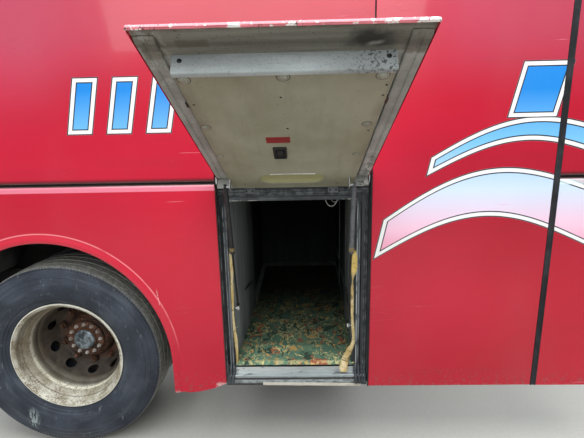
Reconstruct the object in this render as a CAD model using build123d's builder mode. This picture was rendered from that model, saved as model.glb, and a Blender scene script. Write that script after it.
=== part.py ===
from build123d import *
import os
from math import acos, cos, degrees, hypot, radians, sin

os.makedirs("parts", exist_ok=True)

# Driving dimensions in millimetres. x runs forward from the axle, y inward from the
# body's skin and z up from the road.

# Stretch of the coach's right side
section_rear = -700.0
section_front = 2800.0
skin = 3.0
skirt_height = 357.0
seam_gap = 10.0
waist_height = 2290.0
roll_radius = 12.0
lip_reach = 6.0

# Doorway of the luggage bay, between the wing panel and the front panel
wing_edge = 853.0
strip_edge = 1577.0
rear_jamb = 850.0
front_jamb = 1580.0
strip_width = 6.0
front_strip = 2404.0
front_strip_width = 28.0
gap = 5.0

# Square tube frame behind the skin
tube = 50.0
tube_wall = 3.0
sill_rail = 345.0
sill_rail_depth = 33.0

# Longitudinal rail that the section is held by
rail_depth = 850.0
rail_height = 940.0
rail_width = 80.0
rail_tall = 120.0
rail_wall = 5.0
plate = 12.0
plate_width = 160.0
plate_tall = 200.0
plate_hole = 9.0
plate_hole_y = 110.0
plate_hole_z = 150.0

# Luggage bay
bay_rear = 878.0
bay_front = 1575.0
bay_mouth = 84.0
bay_depth = 1750.0
bay_floor_height = 450.0
board = 12.0
bay_tube = 40.0
bay_bearer = 900.0
wedge_depth = 806.0
wedge_reach = 45.0
front_lining = 51.0
front_lining_far = 8.0
wall_flat = 150.0

# Door seal, a rubber section round three sides of the doorway
seal_rear = 866.0
seal_front = 1545.0
seal_width = 24.0
seal_thick = 20.0
seal_face = 60.0
seal_corner = 70.0

# Flap: hinge line, opening angle and its section, measured from the hinge line
hinge_depth = 40.0
hinge_height = 1396.0
flap_angle = 116.0
flap_middle = 1215.0
flap_width = 714.0
flap_lip = 14.0
flap_foot = 360.0
flap_outside = 40.0
flap_inside = 14.0
flap_sheet = 3.0
belt_over_hinge = 16.0
rail_over_hinge = 76.0
roof_under_hinge = 46.0
seal_under_roof = 8.0
box_width = 560.0
box_start = 10.0
rail_from_edge = 111.0
knuckle = 7.0

# Gas struts: a ball stud each side on the bay's wall and another on the flap
strut_x = (918.0, 1488.0)
wall_stud_height = (749.0, 646.0)
wall_stud_depth = 100.0
flap_stud_s = 113.0
flap_stud_t = 41.0
strut_tube = 11.0
strut_rod = 5.0
strut_tube_length = 348.0
eye = 11.0

# Rear wheel, a twin on a driven axle
wheel_height = 502.0
tyre_radius = 508.0
tyre_width = 298.0
outer_wheel = 177.0
twin_plane = 345.0
rim_flange = 298.0
rim_width = 240.0
rim_wall = 8.0
rim_well = 252.0
disc_wall = 12.0
spigot = 140.0
stud_circle = 335.0
hand_holes = 10
hand_hole = 27.0
hand_hole_circle = 213.0
hand_hole_depth = 287.0
nuts = 10
spindle = 60.0
spindle_play = 0.05
axle_tube = 75.0
axle_end = 1250.0

# Wheel arch, an ellipse cut in the wing panel with a raised lip
arch_middle = -18.0
arch_half = 600.0
arch_rise = 640.0
arch_foot = 498.0
arch_lip = 42.0
liner_depth = 770.0
liner_wall = 3.0

# Heights that follow the hinge line, and the flap's length down to its foot
flap_length = hinge_height - flap_foot
box_end = flap_length - rail_from_edge
belt_height = hinge_height + belt_over_hinge
belt_rail = hinge_height + rail_over_hinge
bay_roof_height = hinge_height - roof_under_hinge
seal_top = bay_roof_height - seal_under_roof

# Datum planes on the axle, the skin and the road, seen from the rail's front plate
datum = Vector(-(section_front + plate), -rail_depth, -rail_height)
plan = Plane(origin=datum)
side = Plane(origin=datum, x_dir=(1, 0, 0), z_dir=(0, -1, 0))
across = Plane(origin=datum, x_dir=(0, 1, 0), z_dir=(1, 0, 0))


# The flap's own plane: x along the hinge, y from the hinge to the free edge, z inward
opening = radians(flap_angle)
flap_plane = Plane(
    origin=datum + Vector(flap_middle, hinge_depth, hinge_height),
    x_dir=(1, 0, 0),
    z_dir=(0, cos(opening), -sin(opening)),
)

# The wheel's half section: x inward along the axle, y out from its centre
wheel_section = Plane(
    origin=datum + Vector(0, 0, wheel_height), x_dir=(0, 1, 0), z_dir=(1, 0, 0)
)
wheel_axis = Axis(wheel_section.origin, (0, 1, 0))


def bar(x, y, z, mode=Mode.ADD, frame=plan):
    # A block between two values along each axis of a frame
    middle = Location((sum(x) / 2, sum(y) / 2, sum(z) / 2))
    with Locations(frame.location * middle):
        Box(x[1] - x[0], y[1] - y[0], z[1] - z[0], mode=mode)


def box_tube(x, y, z, along, wall):
    # A rectangular tube, open at both ends
    bar(x, y, z)
    inner = [(low + wall, high - wall) for low, high in (x, y, z)]
    ends = (x, y, z)["xyz".index(along)]
    inner["xyz".index(along)] = (ends[0] - 1, ends[1] + 1)
    bar(*inner, mode=Mode.SUBTRACT)


def square(start, size=tube):
    return (start, start + size)


# Side frame: three rails and the posts between them
sill_top = sill_rail + tube
door_posts = (rear_jamb - tube - 2, front_jamb)
with BuildPart() as side_rails:
    for low, rear in ((waist_height - tube, section_rear), (belt_rail, section_rear)):
        box_tube((rear, section_front), square(skin), square(low), "x", tube_wall)
    box_tube((rear_jamb, front_jamb), square(sill_rail_depth), square(sill_rail), "x", tube_wall)
    box_tube((front_jamb, section_front), square(skin), square(sill_rail + 20), "x", tube_wall)

side_rails.part.label = "side_rails"
export_step(side_rails.part, "parts/side_rails.step")

# The lower posts are notched round the rolled edges of the panels
flange_depth = 30.0
notch_depth = flange_depth + 1.0
upper = (belt_rail + tube, waist_height - tube)
lower = (sill_top + 20, belt_rail)
posts = (
    # post's rear face, its foot and head
    (section_rear, 430.0, belt_rail),
    (section_rear, *upper),
    (-tube / 2, *upper),
    (door_posts[0], 400.0, belt_rail),
    (door_posts[0], *upper),
    (door_posts[1], *lower),
    (door_posts[1], *upper),
    (1990.0, *lower),
    (1990.0, *upper),
    (front_strip - tube / 2, *lower),
    (front_strip - tube / 2, *upper),
    (section_front - tube, *lower),
    (section_front - tube, *upper),
)
with BuildPart() as side_posts:
    for rear, foot, head in posts:
        box_tube(square(rear), square(skin), (foot, head), "z", tube_wall)
    for rolled in ((section_rear, wing_edge), (front_strip + front_strip_width, section_front)):
        bar(rolled, (skin, notch_depth), (belt_height - 14, belt_height + 28), Mode.SUBTRACT)

side_posts.part.label = "side_posts"
export_step(side_posts.part, "parts/side_posts.step")

# Inner rail, in two lengths that butt on the bay's uprights
rail_y = (rail_depth - rail_width / 2, rail_depth + rail_width / 2)
rail_z = (rail_height - rail_tall / 2, rail_height + rail_tall / 2)
upright_rear = bay_rear - bay_tube
upright_front = bay_front + bay_tube
for label, span, end in (
    ("rear_rail", (section_rear, upright_rear), section_rear - plate),
    ("front_rail", (upright_front, section_front), section_front),
):
    with BuildPart() as inner_rail:
        box_tube(span, rail_y, rail_z, "x", rail_wall)
        with BuildSketch(across.offset(end)):
            with Locations((rail_depth, rail_height)):
                Rectangle(plate_width, plate_tall)
                with GridLocations(plate_hole_y, plate_hole_z, 2, 2):
                    Circle(plate_hole, mode=Mode.SUBTRACT)
        extrude(amount=plate)
    inner_rail.part.label = label
    export_step(inner_rail.part, f"parts/{label}.step")

# Cross tubes from the side frame's posts to the inner rail
with BuildPart() as outriggers:
    for rear in (section_rear, upright_rear - tube, section_front - tube):
        reach = (skin + tube, rail_y[0])
        box_tube(square(rear), reach, square(rail_height - tube / 2), "y", tube_wall)

outriggers.part.label = "outriggers"
export_step(outriggers.part, "parts/outriggers.step")

# Bay frame: tubes across under and over the bay, uprights at its walls, bearers along it
bay_inner = bay_depth + bay_tube
foot_z = (bay_floor_height - 15 - bay_tube, bay_floor_height - 15)
head_z = (bay_roof_height + 10, bay_roof_height + 10 + bay_tube)
with BuildPart() as bay_crossbars:
    for rear in (upright_rear, bay_front):
        for z in (foot_z, head_z):
            box_tube(square(rear, bay_tube), (bay_mouth, bay_inner), z, "y", tube_wall)

bay_crossbars.part.label = "bay_crossbars"
export_step(bay_crossbars.part, "parts/bay_crossbars.step")

with BuildPart() as bay_uprights:
    for rear in (upright_rear, bay_front):
        for depth in (bay_mouth, rail_depth - bay_tube / 2, bay_depth):
            y = square(depth, bay_tube)
            box_tube(square(rear, bay_tube), y, (foot_z[1], head_z[0]), "z", tube_wall)

bay_uprights.part.label = "bay_uprights"
export_step(bay_uprights.part, "parts/bay_uprights.step")

with BuildPart() as bay_bearers:
    for depth in (bay_mouth + bay_tube, bay_bearer, bay_depth):
        for z in (foot_z, head_z):
            box_tube((bay_rear, bay_front), square(depth, bay_tube), z, "x", tube_wall)

bay_bearers.part.label = "bay_bearers"
export_step(bay_bearers.part, "parts/bay_bearers.step")

# Bay lining: floor, roof, end wall and the two side walls, whose faces open inward
with BuildPart() as bay_floor:
    bar((bay_rear, bay_front), (bay_mouth + 6, bay_inner), (foot_z[1], bay_floor_height))

bay_floor.part.label = "bay_floor"
export_step(bay_floor.part, "parts/bay_floor.step")

with BuildPart() as bay_roof:
    bar((bay_rear, bay_front), (bay_mouth, bay_inner), (bay_roof_height, head_z[0]))

bay_roof.part.label = "bay_roof"
export_step(bay_roof.part, "parts/bay_roof.step")

with BuildPart() as bay_rear_wall:
    with BuildSketch(plan.offset(bay_floor_height)):
        with BuildLine():
            Polyline(
                (bay_rear, bay_mouth + 2),
                (bay_rear + board, bay_mouth + 2),
                (bay_rear + board, wall_flat),
                (bay_rear + wedge_reach, wedge_depth),
                (bay_rear + board, wedge_depth),
                (bay_rear + board, bay_depth),
                (bay_rear, bay_depth),
                close=True,
            )
        make_face()
    extrude(amount=bay_roof_height - bay_floor_height)

bay_rear_wall.part.label = "bay_rear_wall"
export_step(bay_rear_wall.part, "parts/bay_rear_wall.step")

with BuildPart() as bay_front_wall:
    with BuildSketch(plan.offset(bay_floor_height)):
        with BuildLine():
            Polyline(
                (bay_front, bay_mouth + 2),
                (bay_front, bay_depth),
                (bay_front - front_lining_far, bay_depth),
                (bay_front - front_lining, wall_flat),
                (bay_front - front_lining, bay_mouth + 2),
                close=True,
            )
        make_face()
    extrude(amount=bay_roof_height - bay_floor_height)

bay_front_wall.part.label = "bay_front_wall"
export_step(bay_front_wall.part, "parts/bay_front_wall.step")

with BuildPart() as bay_end_wall:
    height = (bay_floor_height, bay_roof_height)
    bar((bay_rear, bay_front), (bay_depth, bay_depth + board), height)

bay_end_wall.part.label = "bay_end_wall"
export_step(bay_end_wall.part, "parts/bay_end_wall.step")

# Jambs, header and sill of the doorway
jamb_sheet = 4.0
jamb_z = (sill_top, seal_top)
jamb_back = (bay_mouth - jamb_sheet, bay_mouth)
jamb_rear_edge = seal_rear + seal_width + 12
jamb_front_edge = seal_front - seal_width - 17
with BuildPart() as door_jambs:
    bar((rear_jamb, jamb_rear_edge), jamb_back, jamb_z)
    bar((rear_jamb, wing_edge), (sill_rail_depth, bay_mouth), jamb_z)
    bar((jamb_front_edge, front_jamb), jamb_back, jamb_z)
    bar((seal_front + 2, strip_edge), (seal_face + 2, bay_mouth), jamb_z)
    bar((strip_edge, front_jamb), (sill_rail_depth, bay_mouth), jamb_z)

door_jambs.part.label = "door_jambs"
export_step(door_jambs.part, "parts/door_jambs.step")

header_top = belt_rail + tube
flap_rear = flap_middle - flap_width / 2
flap_front = flap_middle + flap_width / 2

# The header's gutter follows the flap's outer corner, then the skin of the open flap
gutter = hypot(flap_outside, flap_lip) + 6
gutter_sheet = 3.0
skin_angle = flap_angle - 90.0


def gutter_end(radius, y):
    # Height of the line that touches the radius at the open flap's slope
    lean = radians(90 - skin_angle)
    return hinge_height + (radius - (y - hinge_depth) * cos(lean)) / sin(lean)


with BuildPart() as header:
    with BuildSketch(across.offset(rear_jamb)):
        with BuildLine():
            back = bay_mouth - jamb_sheet
            low_turn = degrees(acos((back - hinge_depth) / gutter))
            high_turn = degrees(acos((back - hinge_depth) / (gutter + gutter_sheet)))
            stop = 90 - skin_angle
            hinge_line = (hinge_depth, hinge_height)
            low = CenterArc(hinge_line, gutter, low_turn, stop - low_turn)
            high = CenterArc(hinge_line, gutter + gutter_sheet, high_turn, stop - high_turn)
            Polyline(
                low @ 1,
                (skin, gutter_end(gutter, skin)),
                (skin, gutter_end(gutter + gutter_sheet, skin)),
                high @ 1,
            )
            Polyline(
                high @ 0,
                (back, header_top - jamb_sheet),
                (skin + tube, header_top - jamb_sheet),
                (skin + tube, header_top),
                (bay_mouth, header_top),
                (bay_mouth, seal_top),
                (seal_face, seal_top),
                (seal_face, hinge_height - 12),
                (back, hinge_height - 12),
                (back, hinge_height - 1),
                (hinge_depth, hinge_height - 1),
                (hinge_depth, hinge_height + 3),
                (back, hinge_height + 3),
                low @ 0,
            )
        make_face()
        with Locations(hinge_line):
            Circle(knuckle)
    extrude(amount=front_jamb - rear_jamb)
    for end in ((rear_jamb, flap_rear), (flap_front, front_jamb)):
        bar(end, (skin, seal_face), (hinge_height - 20, hinge_height + 20), Mode.SUBTRACT)

header.part.label = "header"
export_step(header.part, "parts/header.step")

sill_front = 28.0
sill_step = 56.0
sill_low = 404.0
sill_high = 436.0
with BuildPart() as sill:
    with BuildSketch(across.offset(rear_jamb)):
        with BuildLine():
            Polyline(
                (sill_front, sill_rail + 12),
                (sill_front, sill_low),
                (sill_step, sill_low),
                (sill_step, sill_high),
                (bay_mouth, sill_high),
                (bay_mouth, sill_top),
                (sill_rail_depth, sill_top),
                (sill_rail_depth, sill_rail + 12),
                close=True,
            )
        make_face()
    extrude(amount=front_jamb - rear_jamb)
    for jamb in ((rear_jamb, jamb_rear_edge), (jamb_front_edge, front_jamb)):
        bar(jamb, (sill_rail_depth, bay_mouth), (sill_top, sill_high), Mode.SUBTRACT)
    bar((rear_jamb, wing_edge), (skin, sill_rail_depth), (sill_rail, sill_high), Mode.SUBTRACT)

sill.part.label = "sill"
export_step(sill.part, "parts/sill.step")

# Door seal: a rounded bow of rubber section, open at the sill
with BuildPart() as door_seal:
    with BuildSketch(side.offset(-(bay_mouth - jamb_sheet))):
        with BuildLine():
            bow = FilletPolyline(
                (seal_rear + seal_width / 2, sill_top + seal_width / 2),
                (seal_rear + seal_width / 2, seal_top - seal_width / 2),
                (seal_front - seal_width / 2, seal_top - seal_width / 2),
                (seal_front - seal_width / 2, sill_top + seal_width / 2),
                radius=seal_corner - seal_width / 2,
            )
            offset(bow, amount=seal_width / 2, side=Side.BOTH, kind=Kind.INTERSECTION)
        make_face()
    extrude(amount=seal_thick)

door_seal.part.label = "door_seal"
export_step(door_seal.part, "parts/door_seal.step")

# Body panels. Lower and upper panels meet at the belt with rolled edges


def rolled_edge(span, height, turn):
    # turn is 1 at a panel's top edge and -1 at its bottom edge
    start = height - turn * roll_radius
    with BuildSketch(across.offset(span[0])) as fold:
        with BuildLine():
            outer = CenterArc((roll_radius, start), roll_radius, 180, -90 * turn)
            inner = CenterArc((roll_radius, start), roll_radius - skin, 180, -90 * turn)
            Polyline(
                outer @ 1, (flange_depth, height), (flange_depth, height - turn * skin), inner @ 1
            )
            Line(inner @ 0, outer @ 0)
        make_face()
    extrude(fold.sketch, amount=span[1] - span[0])


def arch_leg(half, rise):
    # The arch's outline from its front foot over the wheel to its rear foot
    front = Line((arch_middle + half, arch_hem), (arch_middle + half, arch_foot))
    EllipticalCenterArc((arch_middle, arch_foot), half, rise, start_angle=0, arc_size=180)
    rear = Line((arch_middle - half, arch_foot), (arch_middle - half, arch_hem))
    return front, rear


arch_hem = 330.0
wing_foot = 378.0
lower_top = belt_height - roll_radius
upper_foot = belt_height + seam_gap + roll_radius
with BuildPart() as wing_panel:
    with BuildSketch(side):
        with BuildLine():
            front, rear = arch_leg(arch_half, arch_rise)
            ThreePointArc(front @ 0, (740, 337), (wing_edge, wing_foot))
            Polyline(
                (wing_edge, wing_foot),
                (wing_edge, lower_top),
                (section_rear, lower_top),
                (section_rear, arch_hem),
                rear @ 1,
            )
        make_face()
    extrude(amount=-skin)
    with BuildSketch(side):
        with BuildLine():
            front, rear = arch_leg(arch_half, arch_rise)
            wide_front, wide_rear = arch_leg(arch_half + arch_lip, arch_rise + arch_lip)
            Line(front @ 0, wide_front @ 0)
            Line(rear @ 1, wide_rear @ 1)
        make_face()
    extrude(amount=lip_reach)
    rolled_edge((section_rear, wing_edge), belt_height, 1)
    bar((wing_edge - skin, wing_edge), (skin, flange_depth), (wing_foot, lower_top))

wing_panel.part.label = "wing_panel"
export_step(wing_panel.part, "parts/wing_panel.step")

flap_seam = gutter_end(gutter, 0) + 1
with BuildPart() as upper_panel:
    bar((section_rear, wing_edge), (0, skin), (upper_foot, waist_height))
    bar((wing_edge, strip_edge), (0, skin), (flap_seam, waist_height))
    rolled_edge((section_rear, wing_edge), belt_height + seam_gap, -1)

upper_panel.part.label = "upper_panel"
export_step(upper_panel.part, "parts/upper_panel.step")

panel_height = (skirt_height, waist_height)
panel_rear = strip_edge + strip_width
with BuildPart() as front_panel:
    bar((panel_rear, front_strip), (0, skin), panel_height)

front_panel.part.label = "front_panel"
export_step(front_panel.part, "parts/front_panel.step")

last_panel = (front_strip + front_strip_width, section_front)
with BuildPart() as lower_front_panel:
    bar(last_panel, (0, skin), (skirt_height, lower_top))
    rolled_edge(last_panel, belt_height, 1)

lower_front_panel.part.label = "lower_front_panel"
export_step(lower_front_panel.part, "parts/lower_front_panel.step")

with BuildPart() as upper_front_panel:
    bar(last_panel, (0, skin), (upper_foot, waist_height))
    rolled_edge(last_panel, belt_height + seam_gap, -1)

upper_front_panel.part.label = "upper_front_panel"
export_step(upper_front_panel.part, "parts/upper_front_panel.step")

for label, span in (
    ("rear_strip", (strip_edge, panel_rear)),
    ("front_strip", (front_strip, front_strip + front_strip_width)),
):
    with BuildPart() as panel_strip:
        bar(span, (-1.5, skin), panel_height)
    panel_strip.part.label = label
    export_step(panel_strip.part, f"parts/{label}.step")

# Wheel arch liner, folded from sheet
liner_top = 1160.0
liner_knee = 820.0
liner_half = arch_half + 22.0
liner_fold = 390.0
liner_back = 680.0
liner_back_foot = 780.0
rear = arch_middle - liner_half
front = arch_middle + liner_half
with BuildPart() as arch_liner:
    with BuildSketch(side.offset(-skin)):
        with BuildLine():
            Polyline(
                (rear, 440),
                (rear, liner_knee),
                (arch_middle - liner_fold, liner_top),
                (arch_middle + liner_fold, liner_top),
                (front, liner_knee),
                (front, 345),
                (front - liner_wall, 345),
                (front - liner_wall, liner_knee - 2),
                (arch_middle + liner_fold - 2, liner_top - liner_wall),
                (arch_middle - liner_fold + 2, liner_top - liner_wall),
                (rear + liner_wall, liner_knee - 2),
                (rear + liner_wall, 440),
                close=True,
            )
        make_face()
    extrude(amount=-(liner_depth - skin))
    with BuildSketch(side.offset(-liner_back)):
        with BuildLine():
            Polyline(
                (rear, liner_back_foot),
                (rear, liner_knee),
                (arch_middle - liner_fold, liner_top),
                (arch_middle + liner_fold, liner_top),
                (front, liner_knee),
                (front, liner_back_foot),
                close=True,
            )
        make_face()
    extrude(amount=-liner_wall)

arch_liner.part.label = "arch_liner"
export_step(arch_liner.part, "parts/arch_liner.step")

# Axle: spindle, tube, parting flange and the seat of the spring beam
shield_depth = 640.0
flange = 15.0
beam_y = (rail_y[0], rail_y[1])
beam_z = (372.0, 422.0)
with BuildPart() as axle_beam:
    with BuildSketch(wheel_section):
        with BuildLine():
            Polyline(
                (400, 30),
                (400, spindle),
                (shield_depth, spindle),
                (shield_depth, axle_tube),
                (axle_end - flange, axle_tube),
                (axle_end - flange, 120),
                (axle_end, 120),
                (axle_end, 30),
                close=True,
            )
        make_face()
    revolve(axis=wheel_axis)
    bar((-70, 70), beam_y, (beam_z[1], wheel_height - axle_tube / 2))
    with Locations(Plane(origin=wheel_section.origin + Vector(0, axle_end, 0), z_dir=(0, 1, 0))):
        with PolarLocations(98, 8):
            Hole(8, flange)

axle_beam.part.label = "axle_beam"
export_step(axle_beam.part, "parts/axle_beam.step")

spring_x = 420.0
with BuildPart() as spring_beam:
    with BuildSketch(side.offset(-beam_y[0])):
        with BuildLine():
            Polyline(
                (-540, 396),
                (-300, beam_z[0]),
                (300, beam_z[0]),
                (540, 396),
                (540, beam_z[1]),
                (-540, beam_z[1]),
                close=True,
            )
        make_face()
    extrude(amount=-rail_width)
    with Locations(plan.offset(beam_z[1])):
        with Locations((-spring_x, rail_depth), (spring_x, rail_depth)):
            Cylinder(100, 8, align=(Align.CENTER, Align.CENTER, Align.MIN))

spring_beam.part.label = "spring_beam"
export_step(spring_beam.part, "parts/spring_beam.step")

spring_foot = beam_z[1] + 8
for label, x in (("rear_air_spring", -spring_x), ("front_air_spring", spring_x)):
    with BuildPart() as air_spring:
        spring_plane = Plane(origin=datum + Vector(x, rail_depth, 0), x_dir=(1, 0, 0), z_dir=(0, -1, 0))
        with BuildSketch(spring_plane):
            with BuildLine():
                Polyline(
                    (0, spring_foot),
                    (85, spring_foot),
                    (100, 612),
                    (134, 640),
                    (150, 680),
                    (144, 760),
                    (150, 810),
                    (140, 845),
                    (118, 868),
                    (118, rail_z[0]),
                    (0, rail_z[0]),
                    close=True,
                )
            make_face()
        revolve(axis=Axis(spring_plane.origin, (0, 0, 1)))
    air_spring.part.label = label
    export_step(air_spring.part, f"parts/{label}.step")

damper_x = 230.0
damper_y = rail_y[1] + 45.0
with BuildPart() as damper:
    damper_foot = (beam_z[0] + beam_z[1]) / 2
    for low, high, radius in ((damper_foot, 690, 33), (660, rail_height, 39)):
        with Locations(datum + Vector(damper_x, damper_y, low)):
            Cylinder(radius, high - low, align=(Align.CENTER, Align.CENTER, Align.MIN))
    for height in (damper_foot, rail_height):
        pin_plane = Plane(origin=datum + Vector(damper_x, rail_y[1], height), z_dir=(0, 1, 0))
        with Locations(pin_plane):
            Cylinder(12, 70, align=(Align.CENTER, Align.CENTER, Align.MIN))

damper.part.label = "damper"
export_step(damper.part, "parts/damper.step")

shield_wall = 6.0
with BuildPart() as brake_shield:
    with BuildSketch(Plane(origin=wheel_section.origin + Vector(0, shield_depth, 0), z_dir=(0, -1, 0))):
        Circle(225)
        Circle(spindle + 0.3, mode=Mode.SUBTRACT)
    extrude(amount=shield_wall)

brake_shield.part.label = "brake_shield"
export_step(brake_shield.part, "parts/brake_shield.step")

with BuildPart() as brake_chamber:
    chamber = Plane(
        origin=wheel_section.origin + Vector(-160, shield_depth, 130), x_dir=(1, 0, 0), z_dir=(0, 1, 0)
    )
    with Locations(chamber):
        for start, end, radius in ((0, 60, 40), (60, 240, 80), (110, 125, 88)):
            with Locations((0, 0, start)):
                Cylinder(radius, end - start, align=(Align.CENTER, Align.CENTER, Align.MIN))

brake_chamber.part.label = "brake_chamber"
export_step(brake_chamber.part, "parts/brake_chamber.step")

# Rear wheel: two tyres, two disc wheels back to back, hub, drum and nuts
half_tyre = tyre_width / 2
tread = 124.0
tread_edge = 503.0
cavity = 116.0
tread_inside = 474.0
tyre_side = (
    # across from the middle plane and out from the axle: cavity, bead, sidewall, shoulder
    (cavity, tread_inside),
    (131, 392),
    (100, 320),
    (67, 302),
    (67, 276.2),
    (93, 284.3),
    (118, 310),
    (140, 340),
    (half_tyre, 398),
    (146, 440),
    (136, 488),
    (tread, tread_edge),
)
for label, centre in (("outer_tyre", outer_wheel), ("inner_tyre", 2 * twin_plane - outer_wheel)):
    with BuildPart() as tyre:
        with BuildSketch(wheel_section):
            with BuildLine():
                for face in (-1, 1):
                    Polyline(*[(centre + across * face, out) for across, out in tyre_side])
                Line((centre - cavity, tread_inside), (centre + cavity, tread_inside))
                Polyline(
                    (centre - tread, tread_edge), (centre, tyre_radius), (centre + tread, tread_edge)
                )
            make_face()
        revolve(axis=wheel_axis)
    tyre.part.label = label
    export_step(tyre.part, f"parts/{label}.step")

# Rim and disc, from the flange the street sees to the mounting face, as depth and radius
half_rim = rim_width / 2
rim_line = (
    (outer_wheel - half_rim, rim_flange),
    (outer_wheel - half_rim + 25, 284.0),
    (outer_wheel + 8, rim_well),
    (outer_wheel + 61, rim_well),
    (outer_wheel + 95, 284.0),
    (outer_wheel + half_rim, rim_flange),
)
well_inside = rim_well - rim_wall
dish_slope = 66.0
disc_face = twin_plane - disc_wall
disc_line = (
    (205.0, well_inside),
    (205.0, well_inside - 10),
    (240.0, well_inside - 10),
    (disc_face, 192.0),
    (disc_face, spigot + 0.5),
    (twin_plane, spigot + 0.5),
    (twin_plane, 198.0),
    (246.0, well_inside),
)
for label, face in (("outer_rim", 1), ("inner_rim", -1)):
    with BuildPart() as disc_wheel:
        with BuildSketch(wheel_section):
            rim = [(twin_plane + face * (depth - twin_plane), r) for depth, r in rim_line]
            disc = [(twin_plane + face * (depth - twin_plane), r) for depth, r in disc_line]
            with BuildLine():
                Polyline(*rim, *[(depth, r - rim_wall) for depth, r in reversed(rim)], close=True)
            make_face()
            with BuildLine():
                Polyline(*disc, close=True)
            make_face()
        revolve(axis=wheel_axis)
        depth = twin_plane + face * (hand_hole_depth - twin_plane)
        hole_plane = Plane(
            origin=wheel_section.origin + Vector(0, depth, 0), x_dir=(1, 0, 0), z_dir=(0, face, 0)
        )
        with Locations(hole_plane):
            with PolarLocations(hand_hole_circle, hand_holes):
                Cylinder(hand_hole, 40, rotation=(0, dish_slope, 0), mode=Mode.SUBTRACT)
    disc_wheel.part.label = label
    export_step(disc_wheel.part, f"parts/{label}.step")

hub_flange = twin_plane + disc_wall
hub_wall = 20.0
with BuildPart() as hub:
    with BuildSketch(wheel_section):
        with BuildLine():
            Polyline(
                (230, 0),
                (230, 66),
                (236, 70),
                (248, 70),
                (250, 104),
                (268, 104),
                (278, 120),
                (312, spigot - 0.3),
                (hub_flange, spigot - 0.3),
                (hub_flange, 188),
                (hub_flange + hub_wall, 188),
                (hub_flange + hub_wall, 148),
                (470, 120),
                (470, spindle + spindle_play),
                (390, spindle + spindle_play),
                (390, 0),
                close=True,
            )
        make_face()
    revolve(axis=wheel_axis)

hub.part.label = "hub"
export_step(hub.part, "parts/hub.step")

drum_back = hub_flange + hub_wall
with BuildPart() as brake_drum:
    with BuildSketch(wheel_section):
        with BuildLine():
            Polyline(
                (drum_back, 150),
                (drum_back, 182),
                (drum_back + 78, 215),
                (shield_depth - 12, 215),
                (shield_depth - 12, 200),
                (drum_back + 78, 200),
                (drum_back + 12, 170),
                (drum_back + 12, 150),
                close=True,
            )
        make_face()
    revolve(axis=wheel_axis)

brake_drum.part.label = "brake_drum"
export_step(brake_drum.part, "parts/brake_drum.step")

nut_plane = Plane(
    origin=wheel_section.origin + Vector(0, disc_face, 0), x_dir=(1, 0, 0), z_dir=(0, -1, 0)
)
with BuildPart() as wheel_nuts:
    with BuildSketch(nut_plane):
        with PolarLocations(stud_circle / 2, nuts):
            RegularPolygon(19, 6)
    extrude(amount=25)
    with BuildSketch(nut_plane.offset(25)):
        with PolarLocations(stud_circle / 2, nuts):
            Circle(11)
    extrude(amount=12)

wheel_nuts.part.label = "wheel_nuts"
export_step(wheel_nuts.part, "parts/wheel_nuts.step")

# Flap: skin with hemmed edges, a hollow box behind it and the hook that hangs on the header
outside = (-flap_outside, -flap_outside + flap_sheet)
box_z = (outside[1], flap_inside - 2)
half_flap = flap_width / 2
half_box = box_width / 2
with BuildPart() as flap_skin:
    bar((-half_flap, half_flap), (-flap_lip, flap_length), outside, frame=flap_plane)
    for face in (-1, 1):
        edge = sorted((half_flap * face, (half_flap - flap_sheet) * face))
        bar(edge, (-flap_lip, flap_length), (outside[1], outside[1] + 8), frame=flap_plane)
    hem = (flap_length - flap_sheet, flap_length)
    bar((-half_flap, half_flap), hem, (outside[1], outside[1] + 10), frame=flap_plane)

flap_skin.part.label = "flap_skin"
export_step(flap_skin.part, "parts/flap_skin.step")

rail_end = box_end - 4
latch_s = (flap_length - 301.0, flap_length - 266.0)
with BuildPart() as flap_frame:
    bar((-half_box, half_box), (box_start + 2, rail_end), box_z, frame=flap_plane)
    inner = half_box - flap_sheet
    bar(
        (-inner, inner),
        (box_start + 2 + flap_sheet, rail_end - flap_sheet),
        (box_z[0] - 1, box_z[1] + 1),
        Mode.SUBTRACT,
        flap_plane,
    )
    for face in (-1, 1):
        wall = sorted((inner * face, half_box * face))
        bar(wall, latch_s, (-25, 8), Mode.SUBTRACT, flap_plane)

flap_frame.part.label = "flap_frame"
export_step(flap_frame.part, "parts/flap_frame.step")

pull_s = 131.0
pull_size = (300.0, 130.0)
lock_x = -36.0
lock_s = (372.0, 468.0)
lock_width = 50.0
with BuildPart() as flap_panel:
    bar((-half_box, half_box), (box_start + 2, rail_end), (box_z[1], flap_inside), frame=flap_plane)
    with BuildSketch(flap_plane.offset(box_z[1])):
        with Locations((0, pull_s)):
            SlotOverall(*pull_size)
    extrude(amount=2, mode=Mode.SUBTRACT)

flap_panel.part.label = "flap_panel"
export_step(flap_panel.part, "parts/flap_panel.step")

pull_depth = 16.0
with BuildPart() as flap_pull:
    with BuildSketch(flap_plane.offset(flap_inside)):
        with Locations((0, pull_s)):
            SlotOverall(*pull_size)
    extrude(amount=-pull_depth)
    with BuildSketch(flap_plane.offset(flap_inside)):
        with Locations((0, pull_s)):
            SlotOverall(pull_size[0] - 8, pull_size[1] - 8)
    extrude(amount=-(pull_depth - 2), mode=Mode.SUBTRACT)

flap_pull.part.label = "flap_pull"
export_step(flap_pull.part, "parts/flap_pull.step")

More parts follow.
